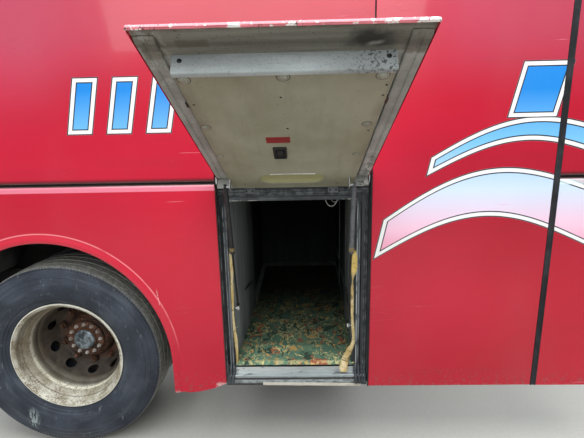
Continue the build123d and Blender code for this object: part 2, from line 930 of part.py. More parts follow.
rail_hole = 262.0
with BuildPart() as flap_rail:
    half_rail = half_box + 3
    bar((-half_rail, half_rail), (rail_end, box_end), (outside[1], flap_inside + 2), frame=flap_plane)
    bar(
        (-half_rail, half_rail),
        (rail_end - 14, rail_end),
        (flap_inside, flap_inside + 2),
        frame=flap_plane,
    )
    for x in (-rail_hole, rail_hole):
        with Locations(flap_plane.location * Location((x, box_end, -20), (90, 0, 0))):
            Cylinder(6, 20, mode=Mode.SUBTRACT)
    bar((-41, 41), (rail_end + 2, box_end), (-30, -5), Mode.SUBTRACT, flap_plane)

flap_rail.part.label = "flap_rail"
export_step(flap_rail.part, "parts/flap_rail.step")

with BuildPart() as flap_stiffeners:
    for face in (-1, 1):
        strip = sorted(((half_box + 22) * face, (half_flap - flap_sheet) * face))
        bar(strip, (20, flap_length - 36), (outside[1], outside[1] + 10), frame=flap_plane)

flap_stiffeners.part.label = "flap_stiffeners"
export_step(flap_stiffeners.part, "parts/flap_stiffeners.step")

with BuildPart() as flap_lock:
    x = (lock_x - lock_width / 2, lock_x + lock_width / 2)
    bar(x, lock_s, (flap_inside, flap_inside + 8), frame=flap_plane)
    bar((x[0] + 12, x[1] - 12), (395, 445), (flap_inside + 4, flap_inside + 8), Mode.SUBTRACT, flap_plane)

flap_lock.part.label = "flap_lock"
export_step(flap_lock.part, "parts/flap_lock.step")

with BuildPart() as flap_latches:
    for face in (-1, 1):
        body = sorted(((inner - 15) * face, (half_box + 12) * face))
        bar(body, (latch_s[0] + 1, latch_s[1] - 1), (-24, 7), frame=flap_plane)
        slot = sorted(((half_box + 4) * face, (half_box + 12) * face))
        bar(slot, (latch_s[0] + 12, latch_s[1] - 10), (-10, 7), Mode.SUBTRACT, flap_plane)

flap_latches.part.label = "flap_latches"
export_step(flap_latches.part, "parts/flap_latches.step")

# The hook grips the header's bead but leaves its tongue free from closed to open
hook_wall = 3.0
hook_play = 0.1
hook_start = -122.0
hook_sweep = 187.0
hook_plane = Plane(
    origin=flap_plane.origin - Vector(half_flap, 0, 0), x_dir=flap_plane.y_dir, z_dir=(1, 0, 0)
)
with BuildPart() as flap_hinge:
    with BuildSketch(hook_plane):
        with BuildLine():
            inner_arc = CenterArc((0, 0), knuckle + hook_play, hook_start, hook_sweep)
            outer_arc = CenterArc((0, 0), knuckle + hook_play + hook_wall, hook_start, hook_sweep)
            Line(inner_arc @ 0, outer_arc @ 0)
            Line(inner_arc @ 1, outer_arc @ 1)
        make_face()
    extrude(amount=flap_width)
    leaf = half_flap - flap_sheet
    bar((-leaf, leaf), (9, box_start + 2), (outside[1], flap_inside), frame=flap_plane)

flap_hinge.part.label = "flap_hinge"
export_step(flap_hinge.part, "parts/flap_hinge.step")

# Struts, drawn from the stud on the bay's wall to the stud on the flap
flap_stud = flap_plane.origin + flap_plane.y_dir * flap_stud_s + flap_plane.z_dir * flap_stud_t
pin_play = 0.05
eye_width = 10.0
stud_gap = 2.0
wall_faces = (bay_rear + board, bay_front - front_lining)
cross = (0, 90, 0)
for label, x, height in (
    ("left", strut_x[0], wall_stud_height[0]),
    ("right", strut_x[1], wall_stud_height[1]),
):
    wall_stud = datum + Vector(x, wall_stud_depth, height)
    top = Vector(datum.X + x, flap_stud.Y, flap_stud.Z)
    run = (top - wall_stud).length
    strut = Plane(origin=wall_stud, x_dir=(1, 0, 0), z_dir=(top - wall_stud))
    with BuildPart() as strut_body:
        with Locations(strut.location * Location((0, 0, run))):
            Cylinder(eye, eye_width, rotation=cross)
        with Locations(strut.location * Location((0, 0, run - strut_tube_length))):
            Cylinder(
                strut_tube, strut_tube_length - 14, align=(Align.CENTER, Align.CENTER, Align.MIN)
            )
            Cylinder(
                strut_rod + pin_play,
                strut_tube_length - 40,
                align=(Align.CENTER, Align.CENTER, Align.MIN),
                mode=Mode.SUBTRACT,
            )
        with Locations(strut.location * Location((0, 0, run - 20))):
            Cylinder(strut_rod + 1, 20, align=(Align.CENTER, Align.CENTER, Align.MIN))
        with Locations(strut.location * Location((0, 0, run))):
            Cylinder(strut_rod + pin_play, eye_width + 2, rotation=cross, mode=Mode.SUBTRACT)
    strut_body.part.label = f"strut_tube_{label}"
    export_step(strut_body.part, f"parts/strut_tube_{label}.step")

    with BuildPart() as rod:
        with Locations(strut.location):
            Cylinder(eye, eye_width, rotation=cross)
            rod_length = run - strut_tube_length + 60
            Cylinder(strut_rod, rod_length, align=(Align.CENTER, Align.CENTER, Align.MIN))
            Cylinder(strut_rod + pin_play, eye_width + 2, rotation=cross, mode=Mode.SUBTRACT)
    rod.part.label = f"strut_rod_{label}"
    export_step(rod.part, f"parts/strut_rod_{label}.step")

# The struts' brackets: studs on the bay's walls, and pins on the flap
strut_sides = ((strut_x[0], wall_stud_height[0], -1), (strut_x[1], wall_stud_height[1], 1))
bracket_sheet = 3.0
bracket_half = 25.0
with BuildPart() as wall_brackets:
    for x, height, face in strut_sides:
        mount = wall_faces[0] if face < 0 else wall_faces[1]
        stud = sorted((x + face * (eye_width / 2 + stud_gap), mount))
        with Locations(datum + Vector(sum(stud) / 2, wall_stud_depth, height)):
            Cylinder(strut_rod, stud[1] - stud[0], rotation=cross)
        foot = sorted((mount - face * bracket_sheet, mount))
        reach = (bay_mouth + bracket_sheet, wall_stud_depth + 20)
        bar(foot, reach, (height - bracket_half, height + bracket_half))

wall_brackets.part.label = "wall_brackets"
export_step(wall_brackets.part, "parts/wall_brackets.step")

ear_offset = 20.0
ear_sheet = 4.0
ear_half = 18.0
with BuildPart() as flap_brackets:
    for x, height, face in strut_sides:
        flap_x = x - flap_middle
        far = flap_x - face * (ear_offset + ear_sheet)
        pin = sorted((flap_x + face * eye_width / 2, far))
        with Locations(flap_plane.location * Location((sum(pin) / 2, flap_stud_s, flap_stud_t))):
            Cylinder(strut_rod, pin[1] - pin[0], rotation=cross)
        cheek = sorted((flap_x - face * ear_offset, far))
        ear = (flap_stud_s - ear_half, flap_stud_s + ear_half)
        bar(cheek, ear, (flap_inside, flap_stud_t + 14), frame=flap_plane)

flap_brackets.part.label = "flap_brackets"
export_step(flap_brackets.part, "parts/flap_brackets.step")

# Strikers that the flap's side latches close on
striker_height = hinge_height - sum(latch_s) / 2
with BuildPart() as strikers:
    for face, mount, height in (
        (-1, wall_faces[0], striker_height),
        (1, wall_faces[1], striker_height - 60),
    ):
        foot = sorted((mount - face * 3, mount))
        bar(foot, (bay_mouth + 3, bay_mouth + 33), (height - 16, height + 16))
        with Locations(datum + Vector(mount - face * 10, bay_mouth + 14, height)):
            Cylinder(4, 16, rotation=(0, 90, 0))

strikers.part.label = "strikers"
export_step(strikers.part, "parts/strikers.step")

# Soft parts: perished foam along the seal, the cloth on the floor
foam_depth = bay_mouth - jamb_sheet - 0.3
foam = 5.0
foam_left = ((896.5, 1053), (897, 923), (896, 861), (896.5, 700), (897, 560), (896.5, 452))
with BuildPart() as foam_strip_left:
    with BuildLine():
        foam_path = FilletPolyline(
            *[datum + Vector(x, foam_depth - foam, z) for x, z in foam_left], radius=300
        )
    with BuildSketch(Plane(origin=foam_path @ 0, z_dir=foam_path % 0)):
        Circle(foam)
    sweep()

foam_strip_left.part.label = "foam_strip_left"
export_step(foam_strip_left.part, "parts/foam_strip_left.step")

foam_x = 1511.5
foam_bulb = 8.0
foam_column = (
    # height and the radius from there up to the next height
    (540, foam),
    (925, foam_bulb),
    (1003, foam - 1),
    (1070, 0),
)
foam_tail = (
    # start and end as x and z, radius and depth
    ((foam_x, 548), (1480, 482), foam - 0.6, foam_depth - foam_bulb),
    ((1487, 492), (1457, 446), 13, 75),
)
with BuildPart() as foam_strip_right:
    column = Plane(origin=datum + Vector(foam_x, foam_depth - foam_bulb, 0), z_dir=(0, 0, 1))
    for (low, radius), (high, _) in zip(foam_column, foam_column[1:]):
        with Locations(column.offset(low)):
            Cylinder(radius, high - low, align=(Align.CENTER, Align.CENTER, Align.MIN))
    for start, end, radius, depth in foam_tail:
        tail = datum + Vector(start[0], depth, start[1])
        tip = datum + Vector(end[0], depth, end[1])
        with Locations(Plane(origin=tail, z_dir=tip - tail)):
            Cylinder(radius, (tip - tail).length, align=(Align.CENTER, Align.CENTER, Align.MIN))

foam_strip_right.part.label = "foam_strip_right"
export_step(foam_strip_right.part, "parts/foam_strip_right.step")

cloth = 12.0
cloth_mouth = 100.0
cloth_far = bay_depth - 110.0
with BuildPart() as floor_cloth:
    with BuildSketch(plan.offset(bay_floor_height)):
        with BuildLine():
            Polyline(
                (bay_rear + 15, cloth_mouth),
                (bay_rear + 48, wedge_depth),
                (bay_rear + 48, cloth_far),
                (bay_front - 17, cloth_far),
                (bay_front - 53, cloth_mouth),
                close=True,
            )
        make_face()
    extrude(amount=cloth)

floor_cloth.part.label = "floor_cloth"
export_step(floor_cloth.part, "parts/floor_cloth.step")

# Loose wires that hang in loops from the bay's roof
wire = 1.5
wire_root = bay_roof_height - 0.2
wire_routes = {
    "wire_long": (
        (1372, 98, wire_root),
        (1371, 97, 1330),
        (1374, 95, 1306),
        (1386, 94, 1285),
        (1406, 94, 1280),
        (1424, 95, 1294),
        (1432, 97, 1318),
        (1433, 98, wire_root),
    ),
    "wire_short": (
        (1396, 106, wire_root),
        (1395, 105, 1334),
        (1399, 104, 1312),
        (1413, 103, 1300),
        (1432, 104, 1305),
        (1441, 105, 1326),
        (1442, 106, wire_root),
    ),
}
for label, route in wire_routes.items():
    corners = [datum + Vector(*point) for point in route]
    radii = []
    for before, corner, after in zip(corners, corners[1:], corners[2:]):
        turn = (corner - before).get_angle(after - corner)
        run = min((corner - before).length, (after - corner).length)
        radii.append(0.45 * run / (sin(radians(turn / 2)) / cos(radians(turn / 2))))
    print(label, "radii", [round(r) for r in radii])
    with BuildPart() as loose_wire:
        with BuildLine():
            loop = FilletPolyline(*corners, radius=radii)
        with BuildSketch(Plane(origin=loop @ 0, z_dir=loop % 0)):
            Circle(wire)
        sweep()
    loose_wire.part.label = label
    export_step(loose_wire.part, f"parts/{label}.step")
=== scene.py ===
from math import cos, pi, radians, sin

import bmesh
import bpy
from mathutils import Matrix, Vector, noise


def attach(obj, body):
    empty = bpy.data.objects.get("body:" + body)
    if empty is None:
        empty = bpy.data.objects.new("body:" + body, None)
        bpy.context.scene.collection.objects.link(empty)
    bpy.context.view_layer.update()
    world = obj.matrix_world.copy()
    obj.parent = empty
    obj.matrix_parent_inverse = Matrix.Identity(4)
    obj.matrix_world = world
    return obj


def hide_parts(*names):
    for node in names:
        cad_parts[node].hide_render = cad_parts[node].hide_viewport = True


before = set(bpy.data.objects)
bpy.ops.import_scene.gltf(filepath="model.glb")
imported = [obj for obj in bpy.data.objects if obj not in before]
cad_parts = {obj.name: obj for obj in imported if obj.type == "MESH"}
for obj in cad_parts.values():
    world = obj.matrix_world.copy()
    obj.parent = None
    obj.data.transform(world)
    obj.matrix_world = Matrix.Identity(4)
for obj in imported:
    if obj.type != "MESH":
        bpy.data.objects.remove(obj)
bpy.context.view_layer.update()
scene = bpy.context.scene
for material in list(bpy.data.materials):
    material.name = "plain_" + material.name
print("frame loaded:", len(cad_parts), "nodes")


# Places. Sizes are in millimetres, x from the axle, y in from the skin, z up from the road
origin = {"x": 2812, "y": 850, "z": 940}
axleHigh = 502
tyreMiddle = 177
hinge = {"x": 1215.0, "y": 40.0, "z": 1396.0, "angle": 116.0}
flapTurn = radians(hinge["angle"])
alongFlap = Vector((0, -sin(flapTurn), -cos(flapTurn)))  # from the hinge to the free edge
intoFlap = Vector((0, cos(flapTurn), -sin(flapTurn)))  # from the skin to the inner side


def place(x, y, z):
    return Vector((x - origin["x"], y - origin["y"], z - origin["z"])) / 1000


def flapPlace(x, s, t):
    return place(hinge["x"] + x, hinge["y"], hinge["z"]) + (alongFlap * s + intoFlap * t) / 1000


def tone(red, green, blue):
    # a colour as seen on a screen, 0 to 255, in linear light
    def linear(value):
        value /= 255
        return value / 12.92 if value < 0.04 else ((value + 0.055) / 1.055) ** 2.4

    return (linear(red), linear(green), linear(blue), 1.0)


def ripple(*spot):
    # an even wander between -1 and 1
    return noise.noise(Vector(spot))


def spread(first, last, count):
    # evenly spaced from the first to the last
    return [first + (last - first) * i / count for i in range(count + 1)]


def oval(wide, high, steps):
    turns = [radians(360 * i / steps) for i in range(steps)]
    return [(cos(a) * wide, sin(a) * high) for a in turns]


def added(name, data):
    thing = bpy.data.objects.new(name, data)
    scene.collection.objects.link(thing)
    return thing


# Node trees: one method adds every node, and arithmetic on a signal adds Math nodes
class Signal:
    def __init__(self, owner, socket):
        self.owner = owner
        self.socket = socket

    def other(self, output):
        return Signal(self.owner, self.socket.node.outputs[output])

    def maths(self, operation, *values):
        inputs = dict(enumerate((self, *values)))
        return self.owner.node("ShaderNodeMath", {"operation": operation}, inputs)

    def __add__(self, value):
        return self.maths("ADD", value)

    def __sub__(self, value):
        return self.maths("SUBTRACT", value)

    def __mul__(self, value):
        return self.maths("MULTIPLY", value)

    def __truediv__(self, value):
        return self.maths("DIVIDE", value)

    def __rsub__(self, value):
        return self.owner.node("ShaderNodeMath", {"operation": "SUBTRACT"}, {0: value, 1: self})

    def __abs__(self):
        return self.maths("ABSOLUTE")

    __radd__ = __add__
    __rmul__ = __mul__

    def rise(self, low, high):
        # 0 below low, 1 above high and smooth between them; falls where low is above high
        ends = {"Value": self, "From Min": low, "From Max": high}
        return self.owner.node("ShaderNodeMapRange", {"interpolation_type": "SMOOTHSTEP"}, ends)

    def band(self, low, high, soft):
        return self.rise(low - soft, low + soft) * self.rise(high + soft, high - soft)


class Tree:
    def __init__(self, group):
        self.group = group

    def node(self, kind, settings=None, inputs=None, output=0):
        new = self.group.nodes.new(kind)
        for key, value in (settings or {}).items():
            if key == "stops":
                ramp = new.color_ramp
                while len(ramp.elements) < len(value):
                    ramp.elements.new(0.5)
                for element, (position, colour) in zip(ramp.elements, value):
                    element.position = position
                    element.color = colour
            else:
                setattr(new, key, value)
        for key, value in (inputs or {}).items():
            for one in value if isinstance(value, list) else [value]:
                if isinstance(one, Signal):
                    self.group.links.new(one.socket, new.inputs[key])
                else:
                    new.inputs[key].default_value = one
        return Signal(self, new.outputs[output])


class Finish(Tree):
    def __init__(self, name, **constants):
        self.material = bpy.data.materials.new(name)
        self.material.use_nodes = True
        super().__init__(self.material.node_tree)
        self.group.nodes.clear()
        self.shader = self.node("ShaderNodeBsdfPrincipled")
        for key, value in constants.items():
            self.shader.socket.node.inputs[key.replace("_", " ")].default_value = value
        surface = self.group.nodes.new("ShaderNodeOutputMaterial")
        self.group.links.new(self.shader.socket, surface.inputs["Surface"])
        self.spot = self.node("ShaderNodeTexCoord").other("Object")

    def axes(self):
        x = self.node("ShaderNodeSeparateXYZ", {}, {0: self.spot})
        return x, x.other(1), x.other(2)

    def along(self, start, direction):
        # distance in metres from a point along a direction
        away = self.node("ShaderNodeVectorMath", {"operation": "SUBTRACT"}, {0: self.spot, 1: start})
        way = {0: away, 1: direction}
        return self.node("ShaderNodeVectorMath", {"operation": "DOT_PRODUCT"}, way, "Value")

    def flapAxes(self):
        start = flapPlace(0, 0, 0)
        return [self.along(start, way) for way in (Vector((1, 0, 0)), alongFlap, intoFlap)]

    def noise(self, scale, detail=4.0, stretch=(1, 1, 1), shift=(0, 0, 0), turn=0.0, rough=0.55, spot=None):
        laid = {"Vector": spot or self.spot, "Location": shift, "Rotation": (0, 0, turn), "Scale": stretch}
        spot = self.node("ShaderNodeMapping", {}, laid)
        look = {"Vector": spot, "Scale": scale, "Detail": detail, "Roughness": rough}
        return self.node("ShaderNodeTexNoise", {}, look)

    def cells(self, scale):
        spot = self.node("ShaderNodeMapping", {}, {"Vector": self.spot})
        return self.node("ShaderNodeTexVoronoi", {}, {"Vector": spot, "Scale": scale}, "Distance")

    def mix(self, amount, first, second):
        # a colour is a signal, or three screen values
        pair = [tone(*one) if isinstance(one, tuple) and len(one) == 3 else one for one in (first, second)]
        settings = {"data_type": "RGBA", "clamp_factor": True}
        return self.node("ShaderNodeMix", settings, {0: amount, 6: pair[0], 7: pair[1]}, 2)

    def ramp(self, value, *stops):
        return self.node("ShaderNodeValToRGB", {"stops": stops}, {0: value})

    def lay(self, amount, colour):
        # a colour over those that are there
        self.base = self.mix(amount, self.base, colour)

    def shade(self, roughness=None, metallic=None, coat=None, height=None, depth=0.001):
        feeds = {"Base Color": self.base, "Roughness": roughness, "Metallic": metallic, "Coat Weight": coat}
        if height is not None:
            self.shader.socket.node.inputs["Normal"].default_value = (0, 0, 0)
            relief = {"Height": height, "Distance": depth}
            feeds["Normal"] = self.node("ShaderNodeBump", {}, relief)
        for key, value in feeds.items():
            if isinstance(value, Signal):
                self.group.links.new(value.socket, self.shader.socket.node.inputs[key])
            elif value is not None:
                self.shader.socket.node.inputs[key].default_value = value
        return self.material


# Meshes. A stock collects faces in millimetres and carries them to their place at the end
class Stock:
    def __init__(self, spot=place):
        self.bm = bmesh.new()
        self.spot = spot

    def ring(self, points):
        return [self.bm.verts.new(point) for point in points]

    def bridge(self, first, second):
        count = max(len(first), len(second))
        for i in range(count):
            j = (i + 1) % count
            if len(first) == 1:
                self.bm.faces.new((first[0], second[i], second[j]))
            elif len(second) == 1:
                self.bm.faces.new((first[i], second[0], first[j]))
            else:
                self.bm.faces.new((first[i], second[i], second[j], first[j]))

    def tube(self, rings, closed=False):
        # joins rings in a row, with a face on each end or round to the first again
        for one, other in zip(rings, rings[1:]):
            self.bridge(one, other)
        if closed:
            self.bridge(rings[-1], rings[0])
        else:
            self.bm.faces.new(rings[0])
            self.bm.faces.new(rings[-1])

    def block(self, low, high, edge=1.0, steps=2):
        # a block between two corners, with rounded edges
        made = bmesh.ops.create_cube(self.bm, size=1)["verts"]
        for vert in made:
            vert.co = [(a + b) / 2 + c * (b - a) for a, b, c in zip(low, high, vert.co)]
        edges = list({e for vert in made for e in vert.link_edges})
        look = {"offset": edge, "segments": steps, "profile": 0.5, "affect": "EDGES"}
        bmesh.ops.bevel(self.bm, geom=edges, **look)

    def lathe(self, profile, origin, direction, steps=64, closed=True):
        # turns a profile of (along, out) pairs round an axis
        origin, direction = Vector(origin), Vector(direction).normalized()
        first = direction.orthogonal().normalized()
        second = direction.cross(first)
        rings = []
        for along, out in profile:
            middle = origin + direction * along
            turns = [2 * pi * i / steps for i in range(steps if out > 1e-6 else 1)]
            rings.append(self.ring([middle + (first * cos(a) + second * sin(a)) * out for a in turns]))
        pairs = list(zip(rings, rings[1:]))
        if closed and len(rings[0]) > 1 and len(rings[-1]) > 1:
            pairs.append((rings[-1], rings[0]))
        for one, other in pairs:
            if len(one) > 1 or len(other) > 1:
                self.bridge(one, other)

    def sweep(self, path, section, up, sizes=None, closed=False):
        # carries a closed section of (side, up) pairs along a path
        path = [Vector(point) for point in path]
        rings = []
        for i, point in enumerate(path):
            before = path[i - 1] if i or closed else point
            after = path[(i + 1) % len(path)] if i + 1 < len(path) or closed else point
            way = (after - before).normalized()
            side = way.cross(Vector(up)).normalized()
            top = side.cross(way)
            size = sizes[i] if sizes else 1.0
            rings.append(self.ring([point + (side * a + top * b) * size for a, b in section]))
        self.tube(rings, closed)

    def sheet(self, loops, lift):
        # a flat face inside the first loop and outside the others
        edges = []
        for loop in loops:
            verts = self.ring([lift(*point) for point in loop])
            edges += [self.bm.edges.new((a, b)) for a, b in zip(verts, verts[1:] + verts[:1])]
        bmesh.ops.triangle_fill(self.bm, edges=edges, use_beauty=True, use_dissolve=False)

    def piece(self, name, finish, body, slot, *replaced, sharp=32, solid=0.0):
        bmesh.ops.remove_doubles(self.bm, verts=self.bm.verts, dist=0.02)
        for vert in self.bm.verts:
            vert.co = self.spot(*vert.co)
        bmesh.ops.recalc_face_normals(self.bm, faces=self.bm.faces)
        mesh = bpy.data.meshes.new(name)
        self.bm.to_mesh(mesh)
        self.bm.free()
        mesh.materials.append(finishes[finish])
        piece = added(name, mesh)
        if solid:
            wall = piece.modifiers.new("wall", "SOLIDIFY")
            wall.thickness = solid / 1000
            wall.offset = -1
        return settle(piece, body, slot, *replaced, sharp=sharp)


def settle(piece, body, slot, *replaced, sharp=32):
    # the modifiers' result becomes the mesh, smooth but for its sharp edges
    bpy.context.view_layer.update()
    if piece.modifiers:
        shaped = piece.evaluated_get(bpy.context.evaluated_depsgraph_get())
        mesh = bpy.data.meshes.new_from_object(shaped)
        piece.modifiers.clear()
        piece.data = mesh
    mesh = piece.data
    mesh.name = piece.name
    bm = bmesh.new()
    bm.from_mesh(mesh)
    for face in bm.faces:
        face.smooth = True
    for edge in bm.edges:
        edge.smooth = len(edge.link_faces) != 2 or edge.calc_face_angle(0) < radians(sharp)
    bm.to_mesh(mesh)
    bm.free()
    if body:
        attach(piece, body)
    if replaced:
        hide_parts(*replaced)
    return piece


def curveOf(name, loops, kind="POLY"):
    # a curve through the places of each loop
    curve = bpy.data.curves.new(name, "CURVE")
    curve.dimensions = "3D"
    for loop in loops:
        spline = curve.splines.new(kind)
        spline.points.add(len(loop) - 1)
        for spot, point in zip(spline.points, loop):
            spot.co = (*point, 1)
    return curve


# Geometry trees, with named inputs; the result is a plain mesh
class Growth(Tree):
    def __init__(self, name, **sizes):
        super().__init__(bpy.data.node_groups.new(name, "GeometryNodeTree"))
        face = self.group.interface
        face.new_socket("Geometry", in_out="INPUT", socket_type="NodeSocketGeometry")
        self.names = {}
        for key, value in sizes.items():
            kind = "NodeSocketInt" if isinstance(value, int) else "NodeSocketFloat"
            socket = face.new_socket(key, in_out="INPUT", socket_type=kind)
            socket.default_value = value
            self.names[key] = socket.identifier
        socket = face.new_socket("finish", in_out="INPUT", socket_type="NodeSocketMaterial")
        self.names["finish"] = socket.identifier
        face.new_socket("Geometry", in_out="OUTPUT", socket_type="NodeSocketGeometry")
        self.entry = self.node("NodeGroupInput")

    def size(self, key):
        return self.entry.other(key)

    def geo(self, kind, settings=None, **inputs):
        inputs = {key.replace("_", " "): value for key, value in inputs.items()}
        return self.node("GeometryNode" + kind, settings, inputs)

    def lift(self, x=0.0, y=0.0, z=0.0):
        return self.node("ShaderNodeCombineXYZ", {}, {0: x, 1: y, 2: z})

    def moved(self, geometry, **ways):
        return self.geo("Transform", Geometry=geometry, **ways)

    def facing(self, way, axis="Z", **more):
        # the turn that points an axis along a way
        settings = {"axis": axis, **({"pivot_axis": "Z"} if more else {})}
        return self.node("FunctionNodeAlignRotationToVector", settings, {"Vector": way, **more})

    def chance(self, low, high):
        inputs = {2: low, 3: high, "Seed": self.size("seed")}
        return self.node("FunctionNodeRandomValue", {"data_type": "FLOAT"}, inputs, 1)

    def joined(self, parts):
        return self.geo("JoinGeometry", Geometry=parts)

    def close(self, geometry):
        real = self.geo("RealizeInstances", Geometry=geometry)
        painted = self.geo("SetMaterial", Geometry=real, Material=self.size("finish"))
        end = self.group.nodes.new("NodeGroupOutput")
        self.group.links.new(painted.socket, end.inputs[0])
        return self

    def grow(self, name, source, finish, body, slot, *replaced, sharp=32, **sizes):
        # source is a mesh, a curve or a list of spots; the tree's result replaces it
        piece = added(name, spotMesh(name, source) if isinstance(source, list) else source)
        grower = piece.modifiers.new("grow", "NODES")
        grower.node_group = self.group
        for key, value in sizes.items():
            grower[self.names[key]] = value
        grower[self.names["finish"]] = finishes[finish]
        shaped = piece.evaluated_get(bpy.context.evaluated_depsgraph_get())
        mesh = bpy.data.meshes.new_from_object(shaped)
        bpy.data.objects.remove(piece)
        return settle(added(name, mesh), body, slot, *replaced, sharp=sharp)


def spotMesh(name, spots):
    # points to grow on: places and the ways they face
    mesh = bpy.data.meshes.new(name)
    mesh.from_pydata([tuple(spot) for spot, _ in spots], [], [])
    facing = mesh.attributes.new("facing", "FLOAT_VECTOR", "POINT")
    facing.data.foreach_set("vector", [value for _, way in spots for value in way])
    return mesh


print("tools ready")


# Camera, light and floor
view = {
    "place": (-1.56, -2.695, 0.699),
    "yaw": -1.32,
    "pitch": 12.17,
    "roll": -1.19,
    "lens": 24.78,
}


def aimCamera():
    yaw, pitch, roll = (radians(view[key]) for key in ("yaw", "pitch", "roll"))
    ahead = Vector((sin(yaw), cos(yaw), 0))
    right = Vector((cos(yaw), -sin(yaw), 0))
    up = Vector((0, 0, 1))
    ahead, up = ahead * cos(pitch) - up * sin(pitch), ahead * sin(pitch) + up * cos(pitch)
    right, up = right * cos(roll) + up * sin(roll), up * cos(roll) - right * sin(roll)
    camera = added("camera", bpy.data.cameras.new("camera"))
    camera.data.lens = view["lens"]
    camera.data.sensor_width = 36
    camera.data.clip_start = 0.05
    turn = Matrix((right, up, -ahead)).transposed().to_4x4()
    camera.matrix_world = Matrix.Translation(view["place"]) @ turn
    scene.camera = camera


light = {
    "horizon": (0.3, 0.31, 0.32, 1.0),
    "zenith": (0.9, 0.97, 1.06, 1.0),
    "skyStrength": 0.95,
    "floor": (172, 170, 163),
    # place, the point it faces, width, height, watts
    "overhead": ((-1.4, -2.2, 4.6), (-1.4, -0.7, -0.4), 6.0, 3.5, 330.0),
    "front": ((-2.2, -6.0, 3.4), (-1.4, -0.8, 0.0), 5.0, 3.0, 150.0),
    "back": ((-1.2, 5.5, 3.6), (-1.4, 0.4, -0.2), 5.0, 3.0, 150.0),
}


def setLight():
    world = bpy.data.worlds.new("sky")
    world.use_nodes = True
    scene.world = world
    # the sky is brightest overhead, as under cloud
    tree = Tree(world.node_tree)
    way = tree.node("ShaderNodeTexCoord")
    up = tree.node("ShaderNodeSeparateXYZ", {}, {0: way}, 2).rise(-0.05, 0.8)
    look = {"data_type": "RGBA"}
    colour = tree.node("ShaderNodeMix", look, {0: up, 6: light["horizon"], 7: light["zenith"]}, 2)
    sky = world.node_tree.nodes["Background"]
    world.node_tree.links.new(colour.socket, sky.inputs["Color"])
    sky.inputs["Strength"].default_value = light["skyStrength"]
    for name in ("overhead", "front", "back"):
        spot, target, width, height, watts = light[name]
        lamp = added(name, bpy.data.lights.new(name, "AREA"))
        lamp.data.shape = "RECTANGLE"
        lamp.data.size, lamp.data.size_y, lamp.data.energy = width, height, watts
        lamp.location = spot
        lamp.rotation_euler = (Vector(target) - Vector(spot)).to_track_quat("-Z", "Y").to_euler()
    scene.view_settings.view_transform = "Standard"

    finish = Finish("floor", Roughness=0.85)
    dark, pale = (tuple(value + more for value in light["floor"]) for more in (-6, 8))
    finish.base = finish.mix(finish.noise(60, 5), dark, pale)
    ground = bmesh.new()
    bmesh.ops.create_grid(ground, x_segments=1, y_segments=1, size=30)
    mesh = bpy.data.meshes.new("floor")
    for vert in ground.verts:
        vert.co += Vector((-1.4, 0, (-6 - origin["z"]) / 1000))
    ground.to_mesh(mesh)
    ground.free()
    mesh.materials.append(finish.shade())
    added("floor", mesh)


aimCamera()
setLight()
print("camera, light and floor set")


# Loose wires, in loops from the bay's roof
wires = {
    "thick": 3.0,
    "length": {"wire_long": 0.165, "wire_short": 0.119},
    "wire_long": (
        (1372, 98, 1349.8),
        (1371, 97, 1330),
        (1374, 95, 1306),
        (1386, 94, 1285),
        (1406, 94, 1280),
        (1424, 95, 1294),
        (1432, 97, 1318),
        (1433, 98, 1349.8),
    ),
    "wire_short": (
        (1396, 106, 1349.8),
        (1395, 105, 1334),
        (1399, 104, 1312),
        (1413, 103, 1300),
        (1432, 104, 1305),
        (1441, 105, 1326),
        (1442, 106, 1349.8),
    ),
}


def wireJacket():
    f = Finish("wire_jacket", Roughness=0.45)
    soil = f.noise(160, 4).rise(0.5, 0.68)
    f.base = f.mix(soil, (196, 196, 188), (96, 92, 82))
    return f.shade(height=soil, depth=0.0002)


def hangWires(finish):
    for name in ("wire_long", "wire_short"):
        points = [place(*point) for point in wires[name]]
        curve = curveOf(name + "_loop", [points], "NURBS")
        curve.bevel_depth = wires["thick"] / 2000
        curve.bevel_resolution = 3
        curve.use_fill_caps = True
        spline = curve.splines[0]
        spline.resolution_u, spline.order_u, spline.use_endpoint_u = 8, 3, True
        curve.materials.append(finish)
        wire = added(name + "_loop", curve)
        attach(wire, "body_side")
        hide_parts(name)


jacket = wireJacket()
hangWires(jacket)
print("wires hung")


# Finishes. The body panels' sizes stand first, because their paint reads them
panels = {
    "sheet": 3.0,
    "rear": -700.0,
    "front": 2800.0,
    "waist": 2290.0,
    "wingEdge": 853.0,
    "archMiddle": -18.0,
    "archHalf": 600.0,
    "archRise": 640.0,
    "archFoot": 498.0,
    "archSteps": 96,
    "hem": 330.0,
    # out from the arch's edge and depth: a soft flare with its edge turned in
    "lip": (
        (0, 24), (0, 5), (0.5, 0.5), (2, -3), (5, -5.4), (10, -6.4), (17, -6.3), (24, -5), (31, -3.1), (38, -1.3),
        (44, -0.2), (49, 0), (54, 0)
    ),
    "belt": (1412.0, 1422.0),
    "roll": 12.0,
    "flange": 30.0,
    "flapSeam": 1470.0,
    "frontPanels": (2432.0, 2800.0),
    "skirt": 357.0,
}


livery = {
    "edge": 0.026,  # metres from a ribbon's rim to its inner colour
    "line": 0.005,
    "blue": tone(26, 132, 214),
    "sky": tone(120, 190, 238),
    "pale": tone(206, 222, 240),
    "blush": tone(243, 196, 216),
    "pink": tone(236, 96, 140),
}


